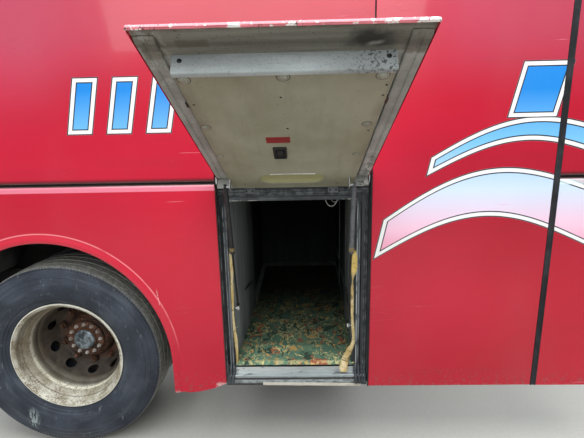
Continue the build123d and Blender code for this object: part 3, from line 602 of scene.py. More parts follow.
def ribbonDepth(x, z, ribbon):
    # distance inside a ribbon's rim, in metres: it follows a wave between two slanted ends
    wave = ((x - ribbon["start"]) / ribbon["wave"]).maths("SINE") * ribbon["swing"]
    rise = (x - ribbon["start"]) * ribbon["slope"]
    middle = z - (wave + rise + ribbon["height"])
    grow = (x - ribbon["start"]) * ribbon["grow"] + ribbon["half"]
    inside = (grow - abs(middle)) * ribbon["cosine"]
    lean = x + (z - ribbon["height"]) * ribbon["lean"]
    left = (lean - ribbon["start"]) * 0.94
    right = (ribbon["end"] - lean) * 0.94
    return inside.maths("MINIMUM", left).maths("MINIMUM", right)


ribbons = (
    # x where it starts and ends, its height there, wave length, swing, slope, half width
    dict(start=-1.2, end=0.3, height=0.19, wave=0.3, swing=0.16, slope=0.12, half=0.085, grow=0.055),
    dict(start=-0.98, end=0.3, height=0.53, wave=0.26, swing=0.12, slope=0.1, half=0.04, grow=0.03),
    dict(start=-0.62, end=-0.4, height=0.86, wave=9.0, swing=0.0, slope=0.0, half=0.12, grow=0.0),
    dict(start=-2.59, end=-2.47, height=0.83, wave=9.0, swing=0.0, slope=0.0, half=0.125, grow=0.0),
    dict(start=-2.41, end=-2.29, height=0.83, wave=9.0, swing=0.0, slope=0.0, half=0.125, grow=0.0),
    dict(start=-2.23, end=-2.11, height=0.83, wave=9.0, swing=0.0, slope=0.0, half=0.125, grow=0.0),
)


wear = {
    # metres in the shared frame: between two lines, and fading out above
    "corner": (-2.545, -2.505),
    "cornerTop": (-0.598, -0.606),
    "foot": (-2.014, -2.008),
    "footTop": (-0.552, -0.566),
    "scratch": (-2.273, -2.27),
}


def crimsonPaint(name="crimson_paint", onFlap=False):
    f = Finish(name, Coat_Roughness=0.06, Specular_IOR_Level=0.35)
    x, y, z = f.axes()
    cloud = f.noise(1.1, 3, stretch=(0.5, 1, 1)).rise(0.35, 0.65)
    f.base = f.mix(cloud, (180, 8, 38), (190, 12, 47))
    faded = f.noise(0.9, 2, shift=(4, 0, 0)).rise(0.45, 0.75) * 0.35
    f.lay(faded, (202, 36, 64))
    streak = f.noise(5, 5, stretch=(0.25, 1, 3)).rise(0.5, 0.8) * 0.22
    f.lay(streak, (150, 22, 40))
    if not onFlap:
        # painted reflection of the sky: paler along the top, most of all towards both ends
        painted_sky_reflection = z.rise(0.76, 1.18) * (0.3 - x.band(-2.4, -0.95, 0.2) * 0.2)
        painted_sky_reflection = painted_sky_reflection + x.rise(-2.5, -2.8) * z.rise(0.6, 0.9) * 0.09
        f.lay(painted_sky_reflection, (170, 104, 130))
        # painted reflection: a darker red band at mid height towards the front
        deep = x.rise(-1.3, -0.95) * z.band(0.12, 0.6, 0.3)
        f.lay(deep * 0.3, (116, 6, 28))
        for ribbon in ribbons:
            ribbon = {**ribbon, "cosine": 0.93 if ribbon["swing"] else 1.0, "lean": -0.22}
            deep = ribbonDepth(x, z, ribbon)
            fill = f.ramp(
                z + ribbon["start"] * 0.02,
                (0.0, livery["pink"]),
                (0.22, livery["blush"]),
                (0.4, livery["pale"]),
                (0.62, livery["sky"]),
                (0.85, livery["blue"]),
            )
            rim, line = livery["edge"], livery["line"]
            ink = f.mix(deep.rise(rim - 0.002, rim), (238, 238, 234), fill)
            darkLine = deep.band(rim - line, rim, 0.001).maths("MAXIMUM", deep.band(0, line, 0.001))
            ink = f.mix(darkLine, ink, (28, 30, 46))
            worn = f.noise(26, 6, stretch=(1, 1, 2)).rise(0.68, 0.7) * 0.8
            cover = deep.rise(-0.0005, 0.0005) * (1 - worn * deep.rise(0.02, 0.0)) * y.rise(-0.8482, -0.8488)
            f.lay(cover, ink)
        # painted light: the wing lighter towards the doorway, below the belt, where the open flap shades it
        painted_light_by_door = x.rise(-2.55, -2.02) * x.rise(-1.955, -1.96) * z.rise(0.473, 0.471) * z.rise(-0.45, -0.05)
        f.lay(painted_light_by_door * 0.55, (208, 24, 54))
    low = z.rise(-0.46, -0.6)
    splash = f.noise(46, 6).rise(0.52, 0.62) * low * 0.45
    f.lay(splash, (122, 84, 78))
    dust = f.noise(2.4, 5, stretch=(1, 1, 0.4)).rise(0.45, 0.8) * 0.05
    f.lay(dust, (170, 130, 126))
    # fine scuffs, and primer where the lower corners are chipped
    scuff = f.noise(9, 3, stretch=(0.35, 1, 14)).rise(0.735, 0.76) * f.noise(1.3, 1, shift=(2, 2, 5)).rise(0.45, 0.6)
    f.lay(scuff * 0.5, (222, 150, 158))
    if onFlap:
        across, along, _ = f.flapAxes()
        hem = along.rise(1.0225, 1.0245)
        f.lay(hem * 0.7, (234, 138, 148))
        worn = f.noise(15, 4) * 0.5 + f.noise(70, 5) * 0.3 + across * 0.07
        peeled = worn.rise(0.425, 0.44) * hem
        f.lay(peeled, (232, 226, 220))
        crack = abs(f.noise(48, 4, stretch=(1, 0.4, 0.4)) - 0.5).rise(0.022, 0.008) * f.noise(9, 2).rise(0.5, 0.6)
        f.lay(crack * hem, (52, 34, 34))
    else:
        # bare patches at the wing's lower corners and two scratches by the arch
        ragged = f.noise(60, 4) * 0.03 - 0.015
        corner = (x + z * 0.5 + ragged).band(*wear["corner"], 0.002) * (z + ragged).rise(*wear["cornerTop"])
        f.lay(corner * 0.85, (196, 150, 146))
        foot = (x + ragged).rise(*wear["foot"]) * (z + ragged).rise(*wear["footTop"]) * (z + x).rise(-2.61, -2.6)
        chips = f.noise(90, 4).rise(0.44, 0.5) * foot * x.rise(-1.9, -1.962)
        f.lay(chips * 0.8, (206, 178, 172))
        line = (x * 0.9953 + z * 0.0973 - f.noise(30, 1) * 0.004).band(*wear["scratch"], 0.0008)
        line = line * z.band(-0.126, -0.043, 0.006) * f.noise(120, 2).rise(0.42, 0.5)
        f.lay(line * 0.8, (232, 190, 190))
        # the arch's flare: a painted highlight, paler where it faces up, and a broken painted highlight line on its
        # crease
        ax = (x - place(panels["archMiddle"], 0, 0).x) / (panels["archHalf"] / 1000)
        az = ((z - place(0, 0, panels["archFoot"]).z) / (panels["archRise"] / 1000)).maths("MAXIMUM", 0.0)
        out = ((ax * ax + az * az).maths("SQRT") - 1) * (panels["archHalf"] / 1000)
        flare_highlight = out.band(0.0, 0.042, 0.004) * az.rise(0.02, 0.35) * y.rise(-0.846, -0.85)
        f.lay(flare_highlight * 0.1, (236, 96, 108))
        crease_highlight = abs(out - 0.0445).rise(0.0046, 0.001) * az.rise(0.05, 0.4) * f.noise(8, 4).rise(0.25, 0.5)
        f.lay(crease_highlight * 0.6, (250, 160, 166))
        inside = y.rise(-0.8482, -0.8476) * x.rise(-3.6, -3.59)
        primer = f.mix(f.noise(6, 5).rise(0.35, 0.7), (112, 84, 82), (84, 70, 68))
        # painted highlight where the edge under the belt seam faces up, painted shade where the one above it faces
        # down
        low, high = (place(0, 0, spot).z for spot in panels["belt"])
        belt_highlight = z.band(low - 0.03, low - 0.002, 0.002) * y.rise(-0.84, -0.8475)
        wing, front = x.rise(-1.958, -1.96), x.rise(-0.382, -0.38)
        f.lay(belt_highlight * wing * 0.95, (226, 126, 146))
        f.lay(belt_highlight * front * 0.6, (226, 244, 250))
        shaded = z.rise(high + 0.027, high + 0.006) * z.rise(high - 0.001, high + 0.001) * (wing + front)
        f.lay(shaded * 0.85, (66, 6, 18))
        f.lay(inside * 0.9, primer)
    rough = cloud * 0.05 + streak * 0.3 + splash * 0.4 + dust + 0.2
    wobble = f.noise(1.6, 2, stretch=(1, 1, 0.7)) + f.noise(420, 2) * 0.004
    return f.shade(rough, coat=0.5 - splash * 0.5 - z.rise(0.3, -0.4) * 0.2, height=wobble, depth=0.012)


def wornPaint(name, clean, soiled, dark, size=6.0, streak=(1, 1, 1), dots=0.5, rough=0.5):
    f = Finish(name)
    cloud = f.noise(size, 5, stretch=streak)
    fine = f.noise(size * 11, 6, stretch=streak)
    dirt = (cloud * 0.65 + fine * 0.35).rise(0.42, 0.66)
    f.base = f.mix(dirt, clean, soiled)
    specks = f.noise(size * 34, 2).rise(0.64, 0.72) * dots
    f.lay(specks, dark)
    return f.shade(fine * 0.25 + (rough - 0.1), height=fine * 0.5 - specks, depth=0.0008)


def rubber(name, dark, pale, rough=0.6, dust=0.5, size=14):
    f = Finish(name, Specular_IOR_Level=0.35)
    cloud = f.noise(size, 5).rise(0.38, 0.7) * dust
    fine = f.noise(size * 16, 3)
    f.base = f.mix(cloud, dark, pale)
    return f.shade(fine * 0.2 + rough, height=fine, depth=0.0003)


def tyreRubber():
    f = Finish("tyre_rubber", Specular_IOR_Level=0.3)
    x = f.along(place(0, tyreMiddle, axleHigh), Vector((1, 0, 0)))
    z = f.along(place(0, tyreMiddle, axleHigh), Vector((0, 0, 1)))
    out = (x * x + z * z).maths("SQRT")
    turn = x.maths("ARCTAN2", z)
    wound = f.node("ShaderNodeCombineXYZ", {}, {0: out * 9, 1: turn * 0.6, 2: 0.0})
    bands = f.node("ShaderNodeTexNoise", {}, {"Vector": wound, "Scale": 3.0, "Detail": 5.0})
    cloud = f.noise(5, 5).rise(0.35, 0.7)
    f.base = f.mix(cloud, (40, 45, 54), (62, 68, 78))
    f.lay(bands.rise(0.5, 0.75) * 0.6, (78, 84, 92))
    # one pale scrape low on the sidewall, faint scuffs elsewhere
    spotX, spotZ = x + 0.212, z + 0.356
    scrape = (spotX * spotX * 2.2 + spotZ * spotZ * 0.55).maths("SQRT").rise(0.062, 0.012)
    scrape = scrape * f.noise(42, 7, stretch=(2.4, 1, 0.8)).rise(0.44, 0.58)
    faint = f.noise(30, 7, stretch=(2.2, 1, 0.8)).rise(0.62, 0.74) * 0.3
    f.lay((scrape + faint).maths("MINIMUM", 0.9), (150, 160, 158))
    # small cuts all round the shoulder
    cuts = (turn * 190).maths("SINE").rise(0.1, 0.6) * out.band(0.487, 0.499, 0.002) * f.noise(9, 3).rise(0.3, 0.5)
    f.lay(cuts * 0.7, (26, 28, 30))
    tread = out.rise(0.494, 0.506)
    dusty = f.noise(60, 5).rise(0.3, 0.7)
    f.lay(tread * 0.85, f.mix(dusty, (112, 112, 106), (156, 154, 144)))
    lower = z.rise(-0.4, -0.5) * 0.5
    f.lay(lower * f.noise(30, 5), (112, 110, 104))
    fine = f.noise(260, 3)
    ring = (out * 900).maths("SINE") * out.band(0.35, 0.44, 0.02) * 0.25
    return f.shade(fine * 0.15 + 0.55, height=fine * 0.6 + ring, depth=0.0004)


def rimPaint():
    f = Finish("rim_paint", Specular_IOR_Level=0.4)
    y = f.along(place(0, 0, axleHigh), Vector((0, 1, 0)))
    x = f.along(place(0, 0, axleHigh), Vector((1, 0, 0)))
    z = f.along(place(0, 0, axleHigh), Vector((0, 0, 1)))
    out = (x * x + z * z).maths("SQRT")
    cloud = f.noise(12, 5).rise(0.4, 0.65)
    f.base = f.mix(cloud, (208, 206, 190), (158, 152, 132))
    # painted shade in a mottled brownish tone: darkest at the top towards the rear and further in, less on the outer
    # lip
    painted_shade = (z - x * 0.7).rise(-0.16, 0.22) * (1 - y.rise(0.075, 0.062) * 0.6)
    f.lay(painted_shade * 0.72, f.mix(f.noise(30, 5), (92, 84, 70), (128, 118, 98)))
    # a painted shadow line at the step in the band
    step = abs(y - 0.1035).rise(0.005, 0.001)
    f.lay(step * 0.6, (72, 60, 46))
    deep = y.rise(0.152, 0.186)
    f.lay(deep * 0.82, (74, 66, 57))
    channel = y.band(0.108, 0.138, 0.006) * f.noise(20, 5).rise(0.2, 0.6)
    f.lay(channel * 0.5, (132, 122, 98))
    # a painted highlight round the rolled ridge, speckled and weaker in the painted shade
    ridge_highlight = y.band(0.14, 0.157, 0.003) * (1 - painted_shade * 0.5) * f.noise(60, 5).rise(0.2, 0.5)
    f.lay(ridge_highlight * 0.85, (240, 236, 214))
    disc = y.rise(0.215, 0.245)
    mud = f.noise(18, 6).rise(0.35, 0.7)
    f.lay(disc * 0.9, f.mix(mud, (52, 46, 42), (88, 80, 70)))
    rust = (f.noise(110, 6) * 0.6 + f.noise(14, 4) * 0.4).rise(0.5, 0.6)
    near = y.rise(0.3, 0.0) * 0.8 + 0.2
    f.lay(rust * near * 0.8, (98, 76, 54))
    specks = f.noise(230, 3).rise(0.57, 0.66)
    f.lay(specks * 0.8, (66, 50, 38))
    hot = out.rise(0.205, 0.15) * disc
    f.lay(hot * f.noise(26, 5).rise(0.3, 0.6), (84, 54, 40))
    lip = out.rise(0.2925, 0.2965) * y.rise(0.075, 0.062)
    f.lay(lip * 0.85, (222, 220, 205))
    fine = f.noise(120, 5)
    return f.shade(fine * 0.3 + 0.4, height=fine * 0.6 - rust * 0.5 - specks * 0.4, depth=0.0012)


def rustyIron():
    f = Finish("rusty_iron", Specular_IOR_Level=0.35)
    cloud = f.noise(24, 6).rise(0.35, 0.68)
    f.base = f.mix(cloud, (46, 34, 28), (92, 60, 43))
    bloom = f.noise(75, 5).rise(0.55, 0.7)
    f.lay(bloom, (126, 94, 70))
    fine = f.noise(180, 5)
    return f.shade(fine * 0.25 + 0.62, height=fine + bloom * 0.5, depth=0.0012)


def brightSteel(name="bright_steel", clean=(196, 198, 200), stain=(112, 96, 78), rough=0.28):
    f = Finish(name, Metallic=0.9)
    cloud = f.noise(30, 5).rise(0.48, 0.72)
    f.base = f.mix(cloud * 0.7, clean, stain)
    fine = f.noise(200, 4, stretch=(1, 6, 1))
    return f.shade(fine * 0.2 + cloud * 0.3 + rough, metallic=0.9 - cloud * 0.5, height=fine, depth=0.0003)


def hubCap():
    f = Finish("hub_cap", Metallic=0.8)
    cloud = f.noise(28, 6).rise(0.4, 0.62)
    f.base = f.mix(cloud, (150, 162, 170), (70, 77, 82))
    grease = f.noise(60, 5, shift=(3, 3, 3)).rise(0.56, 0.66)
    f.lay(grease * 0.7, (50, 44, 40))
    fine = f.noise(150, 4)
    return f.shade(fine * 0.3 + 0.25, metallic=0.85 - grease * 0.6, height=fine + cloud, depth=0.0006)


def sealRubber():
    f = Finish("seal_rubber", Specular_IOR_Level=0.6)
    x, _, z = f.axes()
    cloud = f.noise(16, 5, stretch=(1, 1, 0.3)).rise(0.38, 0.7)
    f.base = f.mix(cloud, (48, 53, 58), (84, 90, 94))
    # painted highlights along the bead's edges: each line is x or z in metres, half its width, and where it runs
    jagged = f.noise(50, 4, stretch=(1, 1, 0.4)).rise(0.36, 0.5)
    for spot, low, high, strength in (
        (-1.286, -0.5, 0.37, 0.55), (-1.2755, -0.45, 0.3, 0.35), (-1.9405, -0.5, 0.35, 0.45),
        (-1.927, -0.5, 0.36, 0.25)
    ):
        line = abs(x - spot).rise(0.003, 0.0008) * z.band(low, high, 0.03) * jagged
        f.lay(line * strength * 1.3, (196, 202, 202))
    # a painted highlight along the lower edge of the top run, by both corners
    top = z.band(0.3795, 0.3835, 0.0012) * (x.rise(-1.72, -1.8) + x.rise(-1.38, -1.34)) * jagged
    f.lay(top * 0.8, (196, 198, 190))
    fine = f.noise(220, 3)
    return f.shade(fine * 0.2 + 0.32, height=fine, depth=0.0003)


def boardFelt():
    f = Finish("bay_board", Specular_IOR_Level=0.15)
    x, y, z = f.axes()
    cloud = f.noise(3.2, 5, stretch=(1, 1, 0.35)).rise(0.3, 0.7)
    f.base = f.mix(cloud, (132, 138, 138), (172, 177, 175))
    streak = f.noise(16, 6, stretch=(1, 1, 0.12)).rise(0.45, 0.7)
    f.lay(streak * 0.45, (74, 78, 79))
    low = z.rise(-0.36, -0.49) * 0.3
    f.lay(low * f.noise(14, 4), (64, 58, 48))
    fibre = f.noise(520, 3, stretch=(1, 1, 0.5))
    f.lay(fibre.rise(0.3, 0.7) * 0.25, (140, 142, 140))
    inner = x.band(-1.928, -1.243, 0.001) * z.band(-0.4901, 0.4101, 0.0005) * y.rise(0.9005, 0.9)
    # painted shade: the bay's inner faces darker deeper in and towards the roof
    painted_shade = inner * (y.rise(-0.6, 0.12) * 0.92 + z.rise(-0.05, 0.45) * 0.26).maths("MINIMUM", 0.94)
    f.lay(painted_shade, (8, 8, 9))
    f.lay((1 - inner) * 0.72, (86, 87, 85))
    return f.shade(0.95, height=fibre, depth=0.001)


def camouflageCloth():
    f = Finish("cloth", Specular_IOR_Level=0.1)
    wide = {"Vector": f.spot, "Scale": (1.0, 0.7, 0.2), "Rotation": (0, 0, 0.5)}
    spot = f.node("ShaderNodeMapping", {}, wide)
    bend = f.node("ShaderNodeTexNoise", {}, {"Vector": spot, "Scale": 17.0, "Detail": 2.0}, "Color")
    bent = f.node("ShaderNodeVectorMath", {"operation": "SCALE"}, {0: bend, 3: 0.12})
    spot = f.node("ShaderNodeVectorMath", {"operation": "ADD"}, {0: spot, 1: bent})

    def patch(scale, low, shift):
        return f.noise(scale, 2, shift=shift, spot=spot).rise(low, low + 0.012)

    def squiggle(scale, wide, shift, turn):
        # thin crooked lines where a noise crosses its middle
        line = abs(f.noise(scale, 1, shift=shift, turn=turn, rough=0.5, spot=spot) - 0.5)
        return line.rise(wide + 0.004, wide) * patch(scale * 0.9, 0.5, (shift[1], shift[0], 3))

    y = f.axes()[1]
    f.base = f.mix(patch(17, 0.5, (0, 0, 0)), (104, 142, 120), (124, 160, 132))
    f.lay(patch(20, 0.57, (9, 5, 2)), (70, 94, 80))
    f.lay(patch(21, 0.61, (3, 1, 4)), (186, 116, 88))
    f.lay(patch(26, 0.61, (6, 2, 8)), (228, 190, 118))
    f.lay(squiggle(19, 0.02, (5, 8, 1), 0.6), (232, 224, 158))
    f.lay(squiggle(15, 0.014, (1, 3, 5), 1.9), (216, 202, 138))
    hem = (y + f.noise(18, 3) * 0.03).rise(-0.735, -0.752)
    f.lay(hem * 0.5 * f.noise(30, 4).rise(0.47, 0.53), (240, 220, 160))
    soil = f.noise(5, 5).rise(0.4, 0.75) * 0.25
    f.lay(soil, (84, 80, 60))
    wander = y + f.noise(4, 3) * 0.05 - 0.025
    shade = wander.rise(-0.625, -0.585) * 0.34 + y.rise(-0.58, -0.05) * 0.42 + y.rise(-0.2, 0.3) * 0.2
    f.lay(shade, (8, 10, 9))
    weave = (f.along((0, 0, 0), Vector((1, 0, 0))) * 3600).maths("SINE") * 0.5
    weave = weave + (f.along((0, 0, 0), Vector((0, 1, 0))) * 3600).maths("SINE") * 0.5
    return f.shade(0.9, height=weave + f.noise(90, 4) * 2, depth=0.0004)


def yellowFoam():
    f = Finish("yellow_foam", Specular_IOR_Level=0.2, Subsurface_Weight=0.05)
    cloud = f.noise(26, 5, stretch=(1, 1, 0.5)).rise(0.35, 0.65)
    f.base = f.mix(cloud, (228, 210, 166), (200, 172, 112))
    x, _, z = f.axes()
    fresh = z.rise(-0.005, 0.012) * x.rise(-1.34, -1.32)
    f.lay(fresh * 0.75, (240, 206, 112))
    soil = f.noise(40, 6).rise(0.53, 0.66)
    f.lay(soil * (0.65 - fresh * 0.35), (112, 92, 64))
    pits = f.cells(420).rise(0.5, 0.1)
    return f.shade(0.85, height=f.noise(140, 5) * 2 - pits * 0.6, depth=0.0016)


def grainedPlastic():
    f = Finish("black_plastic")
    cloud = f.noise(9, 5).rise(0.35, 0.7)
    f.base = f.mix(cloud, (13, 13, 14), (36, 35, 34))
    grain = f.cells(700).rise(0.0, 0.6)
    return f.shade(cloud * 0.2 + 0.5, height=grain, depth=0.0003)


flapDirt = {
    "skirt": 0.918,  # metres from the hinge where the skirt starts
    "smear": (0.165, 0.27, 0.94, 1.0),
    "patch": (-0.26, -0.18, 0.952, 0.98),
}


def flapGrey():
    f = Finish("flap_grey", Specular_IOR_Level=0.35)
    x, s, _ = f.flapAxes()
    cloud = f.noise(7, 5).rise(0.35, 0.68)
    f.base = f.mix(cloud, (166, 167, 161), (138, 138, 132))
    skirt = s.rise(flapDirt["skirt"], flapDirt["skirt"] + 0.01)
    lines = f.noise(14, 6, stretch=(0.12, 2, 2)).rise(0.32, 0.68)
    soot = f.mix(lines, (128, 125, 113), (84, 80, 70))
    f.lay(skirt * 0.92, soot)
    left, right, low, high = flapDirt["smear"]
    ragged = f.noise(16, 6) * 0.09 - 0.045
    smear = (x + ragged).band(left, right, 0.03) * (s + ragged * 0.6).band(low, high, 0.016)
    f.lay(smear * 0.93, (33, 31, 27))
    smudge = (x + ragged * 0.4).band(0.205, 0.245, 0.01) * (s - x * 0.3 + ragged * 0.3).band(0.88, 0.893, 0.005)
    f.lay(smudge * 0.6, (150, 148, 138))
    left, right, low, high = flapDirt["patch"]
    patch = (x + ragged * 0.1).band(left, right, 0.004) * (s + ragged * 0.1).band(low, high, 0.004)
    f.lay(patch * 0.7, (84, 76, 62))
    edge = s.rise(1.004, 1.022) * f.noise(30, 5).rise(0.4, 0.6)
    f.lay(edge * 0.5, (64, 54, 48))
    knocks = x.rise(-0.25, -0.33) * s.rise(0.72, 0.84) * f.noise(26, 6, stretch=(1.6, 0.8, 0.8)).rise(0.52, 0.6)
    f.lay(knocks * 0.35, (190, 190, 184))
    corner = x.rise(0.28, 0.33) * s.rise(0.42, 0.12)
    scuff = f.noise(30, 6, stretch=(1.4, 1, 0.6)).rise(0.5, 0.6) * corner
    f.lay(scuff * 0.9, (206, 206, 200))
    nicks = f.noise(44, 5).rise(0.58, 0.62) * corner
    f.lay(nicks * 0.8, (46, 42, 40))
    specks = f.noise(150, 3).rise(0.62, 0.7) * 0.6
    f.lay(specks, (44, 40, 36))
    fine = f.noise(90, 5)
    return f.shade(fine * 0.2 + 0.5, height=fine - specks, depth=0.0008)


def flapBeige():
    f = Finish("flap_beige", Specular_IOR_Level=0.35)
    x, s, t = f.flapAxes()
    cloud = f.noise(3.5, 5).rise(0.3, 0.7)
    f.base = f.mix(cloud, (157, 155, 136), (140, 137, 115))
    streak = f.noise(26, 5, stretch=(1, 0.12, 0.12)).rise(0.45, 0.75) * 0.35
    f.lay(streak, (122, 119, 102))
    rim = abs(x).rise(0.24, 0.28) * 0.3 + s.rise(0.84, 0.92) * 0.35
    f.lay(rim * f.noise(12, 5).rise(0.3, 0.7), (84, 80, 66))
    specks = f.noise(120, 2).rise(0.68, 0.74) * 0.6
    f.lay(specks, (66, 58, 46))
    pale = f.noise(5, 3, shift=(2, 6, 1)).rise(0.5, 0.75) * 0.35
    f.lay(pale, (159, 156, 137))
    sunk = t.rise(0.0138, 0.01)
    f.lay(sunk * 0.7, (168, 166, 112))
    fine = f.noise(80, 5)
    wave = f.noise(5, 1) * 6
    return f.shade(fine * 0.2 + 0.45, height=fine * 0.4 + wave, depth=0.001)


def railGrey():
    f = Finish("rail_grey", Specular_IOR_Level=0.4)
    x = f.flapAxes()[0]
    cloud = f.noise(10, 5, stretch=(0.3, 1, 1)).rise(0.35, 0.7)
    f.base = f.mix(cloud, (178, 186, 186), (142, 148, 148))
    soot = f.noise(120, 5).rise(0.52, 0.62) * (x.rise(0.12, 0.24) * 0.8 + 0.06)
    f.lay(soot, (52, 48, 44))
    specks = f.noise(190, 3).rise(0.62, 0.68) * (x.rise(0.05, 0.25) * 0.5 + 0.4)
    f.lay(specks, (46, 42, 40))
    fine = f.noise(90, 5)
    return f.shade(fine * 0.2 + 0.42, height=fine - specks, depth=0.0008)


def sillMetal():
    f = Finish("sill_metal", Metallic=0.6)
    x, _, z = f.axes()
    cloud = f.noise(9, 5, stretch=(0.3, 1, 1)).rise(0.35, 0.7)
    f.base = f.mix(cloud, (206, 211, 209), (172, 178, 178))
    scratch = f.noise(40, 4, stretch=(0.2, 3, 3)).rise(0.6, 0.7)
    f.lay(scratch * 0.5, (226, 228, 226))
    low = z.rise(-0.545, -0.552)
    # painted shade: the faces below the tread's front edge darker and bluer
    f.lay(z.rise(-0.534, -0.538) * 0.5, (138, 152, 158))
    dirt = f.noise(34, 6, stretch=(0.5, 1, 1)).rise(0.56, 0.7)
    dirt = dirt + low * f.noise(50, 5, stretch=(0.5, 1, 1)).rise(0.42, 0.6) * 0.8
    # the groove's dark line is a painted shadow in the recess of the step; the rest of this mix is dirt
    groove = z.band(-0.5635, -0.5515, 0.0008)
    ends = (x.rise(-1.9, -1.925) + x.rise(-1.31, -1.285)) * f.noise(20, 5).rise(0.35, 0.6)
    dirt = (dirt + groove + ends * 0.7).maths("MINIMUM", 1.0)
    f.lay(dirt * 0.75, (58, 56, 52))
    fine = f.noise(120, 4, stretch=(0.2, 1, 1))
    return f.shade(fine * 0.2 + 0.35, metallic=0.7 - dirt * 0.6, height=fine - dirt, depth=0.0006)


made = (
    crimsonPaint(),
    crimsonPaint("flap_crimson", onFlap=True),
    wornPaint("frame_paint", (44, 45, 48), (74, 70, 64), (96, 60, 40), rough=0.55),
    boardFelt(),
    wornPaint("bay_metal", (46, 50, 54), (78, 80, 80), (26, 24, 23), size=9, streak=(1, 1, 0.3)),
    sillMetal(),
    sealRubber(),
    rubber("black_rubber", (22, 23, 26), (58, 60, 64), dust=0.5),
    tyreRubber(),
    rimPaint(),
    rustyIron(),
    flapGrey(),
    flapBeige(),
    railGrey(),
    grainedPlastic(),
    brightSteel(),
    hubCap(),
    wornPaint("strut_black", (18, 19, 21), (34, 34, 34), (70, 62, 52), size=20, dots=0.2, rough=0.4),
    wornPaint("strut_grey", (104, 108, 112), (72, 74, 76), (40, 36, 32), size=20, dots=0.4, rough=0.4),
    brightSteel("rod_steel", (58, 57, 55), (34, 30, 27), rough=0.35),
    yellowFoam(),
    camouflageCloth(),
    jacket,
    wornPaint("strip_pale", (196, 192, 178), (150, 142, 124), (84, 76, 64), size=14, streak=(0.3, 1, 1)),
    rubber("edging_rubber", (42, 46, 50), (124, 130, 132), rough=0.4, dust=0.9, size=24),
    wornPaint("trim_paint", (64, 68, 70), (92, 92, 88), (30, 28, 26), size=10),
    rubber("deep_black", (10, 10, 11), (22, 22, 22), dust=0.4),
    wornPaint("band_tan", (158, 134, 84), (110, 92, 58), (60, 48, 34), size=50, rough=0.7),
    brightSteel("ball_steel", (214, 214, 214), (128, 116, 100), rough=0.22),
    wornPaint("rivet_paint", (152, 153, 138), (122, 120, 104), (80, 74, 62), size=30, dots=0.4, rough=0.4),
    # dark rings round the flap's rivets: painted shadow
    wornPaint("rivet_dirt", (70, 66, 54), (96, 92, 76), (48, 44, 38), size=40, rough=0.7),
    wornPaint("bolt_steel", (190, 184, 176), (112, 84, 66), (60, 40, 32), size=34, dots=0.8, rough=0.4),
    # the pale strip on the flap's recess: a painted highlight
    wornPaint("grip_paint", (226, 228, 224), (190, 190, 182), (120, 112, 96), size=12, dots=0.2),
    wornPaint("red_enamel", (150, 32, 34), (120, 30, 30), (196, 150, 140), size=40, dots=0.6),
    wornPaint("latch_rust", (58, 44, 38), (96, 56, 40), (30, 26, 24), size=40, dots=0.8, rough=0.6),
)
finishes = {finish.name: finish for finish in made}
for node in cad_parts.values():
    for slot in node.material_slots:
        slot.material = finishes[slot.material.name.removeprefix("plain_")]
print("finishes made:", len(finishes))


# Growing trees that several pieces share
def boltTree():
    # a washer, a chamfered hexagon and a stud end on every point, along its facing
    tree = Growth(
        "bolts", washer=0.012, washerHigh=0.002, across=0.009, high=0.007, stud=0.004, studHigh=0.003, seed=1
    )
    parts = []
    level = 0.0
    for radius, tall, sides in (("washer", "washerHigh", 20), ("across", "high", 6), ("stud", "studHigh", 12)):
        wide, depth = tree.size(radius), tree.size(tall)
        straight = 0.8 if sides == 6 else 1.0  # the rest is the hexagon's chamfer
        body = tree.geo("MeshCylinder", Vertices=sides, Radius=wide, Depth=depth * straight)
        parts.append(tree.moved(body, Translation=tree.lift(z=depth * (straight / 2) + level)))
        if straight < 1:
            cap = tree.geo("MeshCone", Vertices=6, Radius_Bottom=wide, Radius_Top=wide * 0.84, Depth=depth * 0.2)
            parts.append(tree.moved(cap, Translation=tree.lift(z=depth * straight + level)))
        level = depth + level
    return tree.close(onPoints(tree, tree.joined(parts)))


def onPoints(tree, head):
    way = tree.geo("InputNamedAttribute", {"data_type": "FLOAT_VECTOR"}, Name="facing")
    spots = tree.geo("InstanceOnPoints", Points=tree.entry, Instance=head, Rotation=tree.facing(way))
    return tree.geo("RotateInstances", Instances=spots, Rotation=tree.lift(z=tree.chance(0.0, 6.28)))


def rivetTree():
    # a low dome with a flat collar on every point
    tree = Growth("rivets", radius=0.006, high=0.003, collar=1.25, seed=1)
    wide, high = tree.size("radius"), tree.size("high")
    ball = tree.geo("MeshUVSphere", Segments=16, Rings=8, Radius=1.0)
    ball = tree.moved(ball, Scale=tree.lift(wide, wide, high))
    skirt = tree.geo("MeshCylinder", Vertices=16, Radius=wide * tree.size("collar"), Depth=high * 0.3)
    return tree.close(onPoints(tree, tree.joined([ball, skirt])))


def beadTree():
    # a weld: overlapping scales along a curve
    tree = Growth("welds", pitch=0.004, radius=0.004, seed=3)
    way = tree.geo("ResampleCurve", {"mode": "LENGTH"}, Curve=tree.entry, Length=tree.size("pitch"))
    turn = tree.facing(tree.geo("InputTangent"))
    ball = tree.geo("MeshUVSphere", Segments=8, Rings=5, Radius=tree.size("radius"))
    ball = tree.moved(ball, Scale=(1, 1, 0.75))
    scale = tree.chance(0.8, 1.15)
    return tree.close(tree.geo("InstanceOnPoints", Points=way, Instance=ball, Rotation=turn, Scale=scale))


bolts, rivets, welds = boltTree(), rivetTree(), beadTree()
print("growing trees ready")


# Tyres
tyre = {
    "centres": {"outer_tyre": tyreMiddle, "inner_tyre": 513},
    "steps": 192,
    "grooves": ((-76, 9), (-27, 10), (27, 10), (76, 9)),  # middle and width across the tread
    "groove": 11,
}


